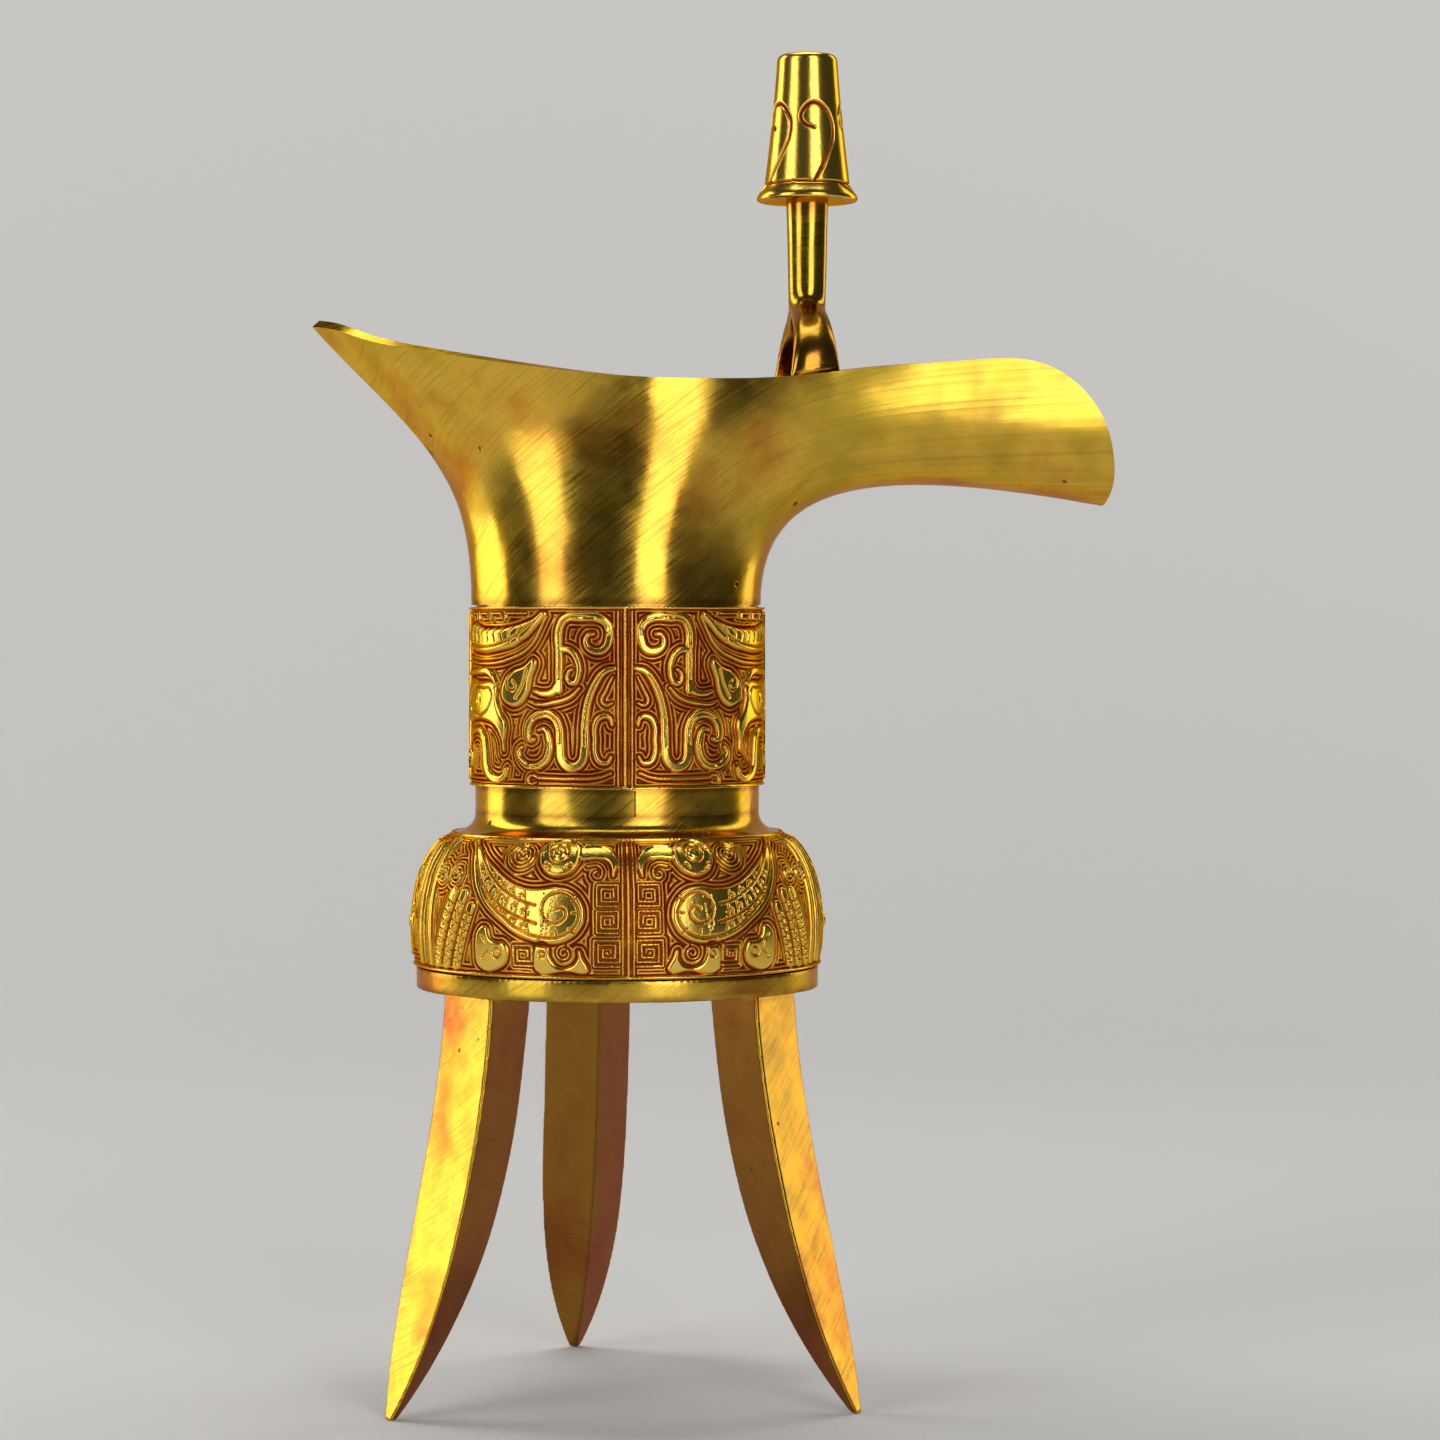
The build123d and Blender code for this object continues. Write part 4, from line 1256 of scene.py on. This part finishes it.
@dataclass
class FiledMouth:
    """The mouth's wall, with the flanks of its spout filed to one clean sweep."""

    name: str = "mouth_casting"
    node: str = "mouth_shell"
    start: float = 36.0
    ramp: float = 12.0
    foot: float = 167.5
    rise: float = 4.0
    degree: int = 4
    spacing: float = 1.6
    facing: float = 0.45
    crease: float = 35.0
    fit_middle: Point = (60.0, 176.0)
    fit_span: Point = (28.0, 10.0)

    def build(self, finish: Material) -> None:
        """Files a copy of the node and places it.

        Args:
            finish: the material.
        """
        shell = welded(self.node)
        shell.normal_update()
        wide = [
            edge
            for edge in shell.edges
            if edge.calc_length() > self.spacing * MM and all(self._on_flank(vertex) for vertex in edge.verts)
        ]
        bmesh.ops.subdivide_edges(shell, edges=wide, cuts=1)
        bmesh.ops.triangulate(shell, faces=shell.faces[:])
        shell.normal_update()
        shell.verts.index_update()
        points = np.array([vertex.co for vertex in shell.verts]) / MM
        outer = np.array([self._on_flank(vertex) for vertex in shell.verts])
        points[:, 1] = self._file(points, outer)
        mesh = bpy.data.meshes.new(self.name)
        mesh.from_pydata((points * MM).tolist(), [], [[v.index for v in face.verts] for face in shell.faces])
        shell.free()
        dress(mesh, finish)
        mesh.shade_smooth()
        mesh.set_sharp_from_angle(angle=math.radians(self.crease))
        add_piece(self.name, mesh, [self.node])

    def _on_flank(self, vertex: bmesh.types.BMVert) -> bool:
        """Whether a point lies on the outer side of the spout's flanks."""
        spot = vertex.co / MM
        on_spout = spot.x > self.start and spot.z > self.foot
        return on_spout and vertex.normal.y * spot.y > self.facing * abs(spot.y)

    def _file(self, points: np.ndarray, outer: np.ndarray) -> np.ndarray:
        """Moves the flanks to a smooth sweep fitted to both of them.

        Args:
            points: the wall's points in millimetres.
            outer: which of them lie on the flanks.

        Returns:
            The points' new places across the spout.
        """
        along, across, up = points[:, 0], np.abs(points[:, 1]), points[:, 2]
        (x, z), (width, height) = self.fit_middle, self.fit_span
        a, b = (along - x) / width, (up - z) / height
        powers = [(i, j) for i in range(self.degree + 1) for j in range(self.degree + 1 - i)]
        terms = np.stack([a**i * b**j for i, j in powers], axis=1)
        sweep = terms @ np.linalg.lstsq(terms[outer], across[outer], rcond=None)[0]
        onset = np.clip((along - self.start) / self.ramp, 0.0, 1.0)
        share = onset * np.clip((up - self.foot) / self.rise, 0.0, 1.0)
        ease = share * share * (3.0 - 2.0 * share)
        return np.sign(points[:, 1]) * (across + np.where(outer, (sweep - across) * ease, 0.0))


@dataclass(frozen=True)
class Softbox:
    """A studio lamp: a soft rectangle that faces the vessel."""

    name: str
    azimuth: float
    elevation: float
    distance: float
    size: tuple[float, float]
    power: float

    def build(self, target: Vector) -> None:
        """Hangs the lamp and turns it to the vessel."""
        data = bpy.data.lights.new(self.name, "AREA")
        data.shape = "RECTANGLE"
        data.size, data.size_y = self.size
        data.energy = self.power
        lamp = place_object(self.name, data)
        turn, rise = math.radians(self.azimuth), math.radians(self.elevation)
        away = Vector((math.sin(turn) * math.cos(rise), -math.cos(turn) * math.cos(rise), math.sin(rise)))
        lamp.location = target + away * self.distance
        lamp.rotation_euler = away.to_track_quat("Z", "Y").to_euler()


@dataclass
class Studio:
    """The plain pale floor, the soft lamps and the camera at the photograph's place."""

    camera_turn: float = -3.0
    camera_height: float = 137.5
    camera_distance: float = 730.0
    aim_right: float = 18.5
    aim_height: float = 121.3
    lens: float = 101.4
    sensor: float = 36.0
    floor_tone: str = "#DEDDDA"
    surround: str = "#8C8D90"
    surround_level: float = 0.15
    distance_tone: str = "#C8C7C4"
    fade: tuple[float, float] = (0.6, 1.0)
    floor_reach: float = 6.0
    bend_start: float = 0.5
    bend_radius: float = 0.4
    bend_steps: int = 12
    backdrop_top: float = 1.6
    lamps: tuple[Softbox, ...] = (
        Softbox("right", 21.0, 19.0, 0.9, (0.40, 0.85), 2.7),
        Softbox("left", -54.0, 19.0, 0.9, (0.40, 0.85), 2.2),
        Softbox("left_rear", -119.0, 19.0, 0.9, (0.36, 0.85), 2.7),
        Softbox("right_rear", 125.0, 19.0, 0.9, (0.30, 0.85), 1.35),
        Softbox("top", 180.0, 78.0, 1.1, (0.8, 0.8), 5.4),
    )

    def build(self) -> None:
        """Sets the floor, the lamps, the surround and the camera."""
        scene = bpy.context.scene
        scene.view_settings.view_transform = "Standard"
        target = Vector((self.aim_right * MM, 0.0, self.aim_height * MM))
        for lamp in self.lamps:
            lamp.build(target)
        self._surround(scene)
        self._floor()
        self._camera(scene)

    def _surround(self, scene: bpy.types.Scene) -> None:
        """Sets the even grey of the room, pale where the camera sees it."""
        world = bpy.data.worlds.new("studio")
        world.use_nodes = True
        graph = Graph(world.node_tree)
        room = world.node_tree.nodes["Background"]
        graph.feed(room, {"Color": linear(self.surround), "Strength": self.surround_level})
        seen = graph.add("ShaderNodeBackground", {"Color": linear(self.distance_tone)})
        ray = graph.add("ShaderNodeLightPath").outputs["Is Camera Ray"]
        either = graph.add("ShaderNodeMixShader", {0: ray, 1: room.outputs[0], 2: seen.outputs[0]})
        graph.feed(world.node_tree.nodes["World Output"], {"Surface": either.outputs[0]})
        scene.world = world

    def _floor(self) -> None:
        """Lays the floor, which rises to a backdrop behind the vessel."""
        reach, start, radius = self.floor_reach, self.bend_start, self.bend_radius
        path = [(-reach, 0.0), (start, 0.0)]
        for step in range(1, self.bend_steps + 1):
            angle = step * math.pi / 2 / self.bend_steps
            path.append((start + radius * math.sin(angle), radius - radius * math.cos(angle)))
        path.append((start + radius, self.backdrop_top))
        sheet = bmesh.new()
        rows = [[sheet.verts.new((x, y, z)) for y, z in path] for x in (-reach, reach)]
        for index in range(len(path) - 1):
            sheet.faces.new((rows[0][index], rows[1][index], rows[1][index + 1], rows[0][index + 1]))
        mesh = bpy.data.meshes.new("floor")
        sheet.to_mesh(mesh)
        sheet.free()
        mesh.shade_smooth()
        dress(mesh, self._paper())
        floor = place_object("floor", mesh)

    def _paper(self) -> Material:
        """Makes the floor's pale paper, which stays as pale far away where the camera sees it."""
        material, graph, shader = new_material("pale studio paper")
        graph.feed(shader, {"Base Color": linear(self.floor_tone), "Roughness": 0.9})
        place = graph.add("ShaderNodeTexCoord").outputs["Object"]
        far = graph.remap(graph.vector("LENGTH", place), *self.fade)
        ray = graph.add("ShaderNodeLightPath").outputs["Is Camera Ray"]
        glow = graph.add("ShaderNodeEmission", {"Color": linear(self.distance_tone)}).outputs[0]
        share = graph.math("MULTIPLY", far, ray)
        either = graph.add("ShaderNodeMixShader", {0: share, 1: shader.outputs[0], 2: glow}).outputs[0]
        graph.feed(material.node_tree.nodes["Material Output"], {"Surface": either})
        return material

    def _camera(self, scene: bpy.types.Scene) -> None:
        """Stands the camera a little left of the front, at the height of the neck's belt."""
        turn = math.radians(self.camera_turn)
        right = Vector((math.cos(turn), math.sin(turn), 0.0))
        back = Vector((math.sin(turn), -math.cos(turn), 0.0))
        data = bpy.data.cameras.new("camera")
        data.lens = self.lens
        data.sensor_width = self.sensor
        camera = place_object("camera", data)
        camera.location = back * self.camera_distance * MM + Vector((0.0, 0.0, self.camera_height * MM))
        aim = right * self.aim_right * MM + Vector((0.0, 0.0, self.aim_height * MM))
        camera.rotation_euler = (camera.location - aim).to_track_quat("Z", "Y").to_euler()
        scene.camera = camera


def main() -> None:
    """Builds the vessel's looks round its frame."""
    logging.basicConfig(level=logging.INFO, format="%(name)s %(message)s")
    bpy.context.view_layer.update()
    Studio().build()
    gilt = PolishedGilding(stain=((142.3, 1.2), (105.0, 1.0), (109.4, 0.8), (77.5, 0.8), (73.5, 1.6))).build()
    root_stain = ((187.0, 13.0), (214.6, 4.0))
    stem = PolishedGilding("gilt bronze, red at its root", patina="#8C2C0E", stain=root_stain).build()
    rubbed = PolishedGilding("gilt bronze, rubbed by hands").build()
    # The legs' blades: a deeper gold, with painted shade on their inner faces and real patina in pits and at
    # the ring.
    blade_gilt_painted_shade = PolishedGilding(
        "gilt bronze, blades with painted inner shade", "#DCAA38", "#B8922A", "#AE5A1C", "#70400C",
        brushing=0.2, pit_mm=8.0, painted_shade_strength=0.8, stain=((73.5, 1.6),),
    ).build()
    carved = ReliefGilding().build()
    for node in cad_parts.values():
        dress(node.data, gilt)
    relief = TurnedRelief()
    NeckBelt().build(relief, carved)
    BellyBelt().build(relief, carved)
    PostCap().build(relief, carved)
    FiledMouth().build(gilt)
    SoftCasting("post_casting", "post", Slot.GILT, rounds=20, fillet=2.0).build(stem)
    SoftCasting("handle_casting", "handle_strap", Slot.GILT).build(rubbed)
    SoftCasting("handle_mask", "handle_head", Slot.RELIEF, voxel=0.25, rounds=4).build(rubbed)
    SoftCasting("base_hoop", "base_ring", Slot.GILT, voxel=0.35, rounds=4).build(gilt)
    for leg in ("leg_front_left", "leg_front_right", "leg_rear"):
        SoftCasting(f"{leg}_blade", leg, Slot.GILT, rounds=6, sway=0.2, sway_length=16.0).build(blade_gilt_painted_shade)


if __name__ == "__main__":
    main()
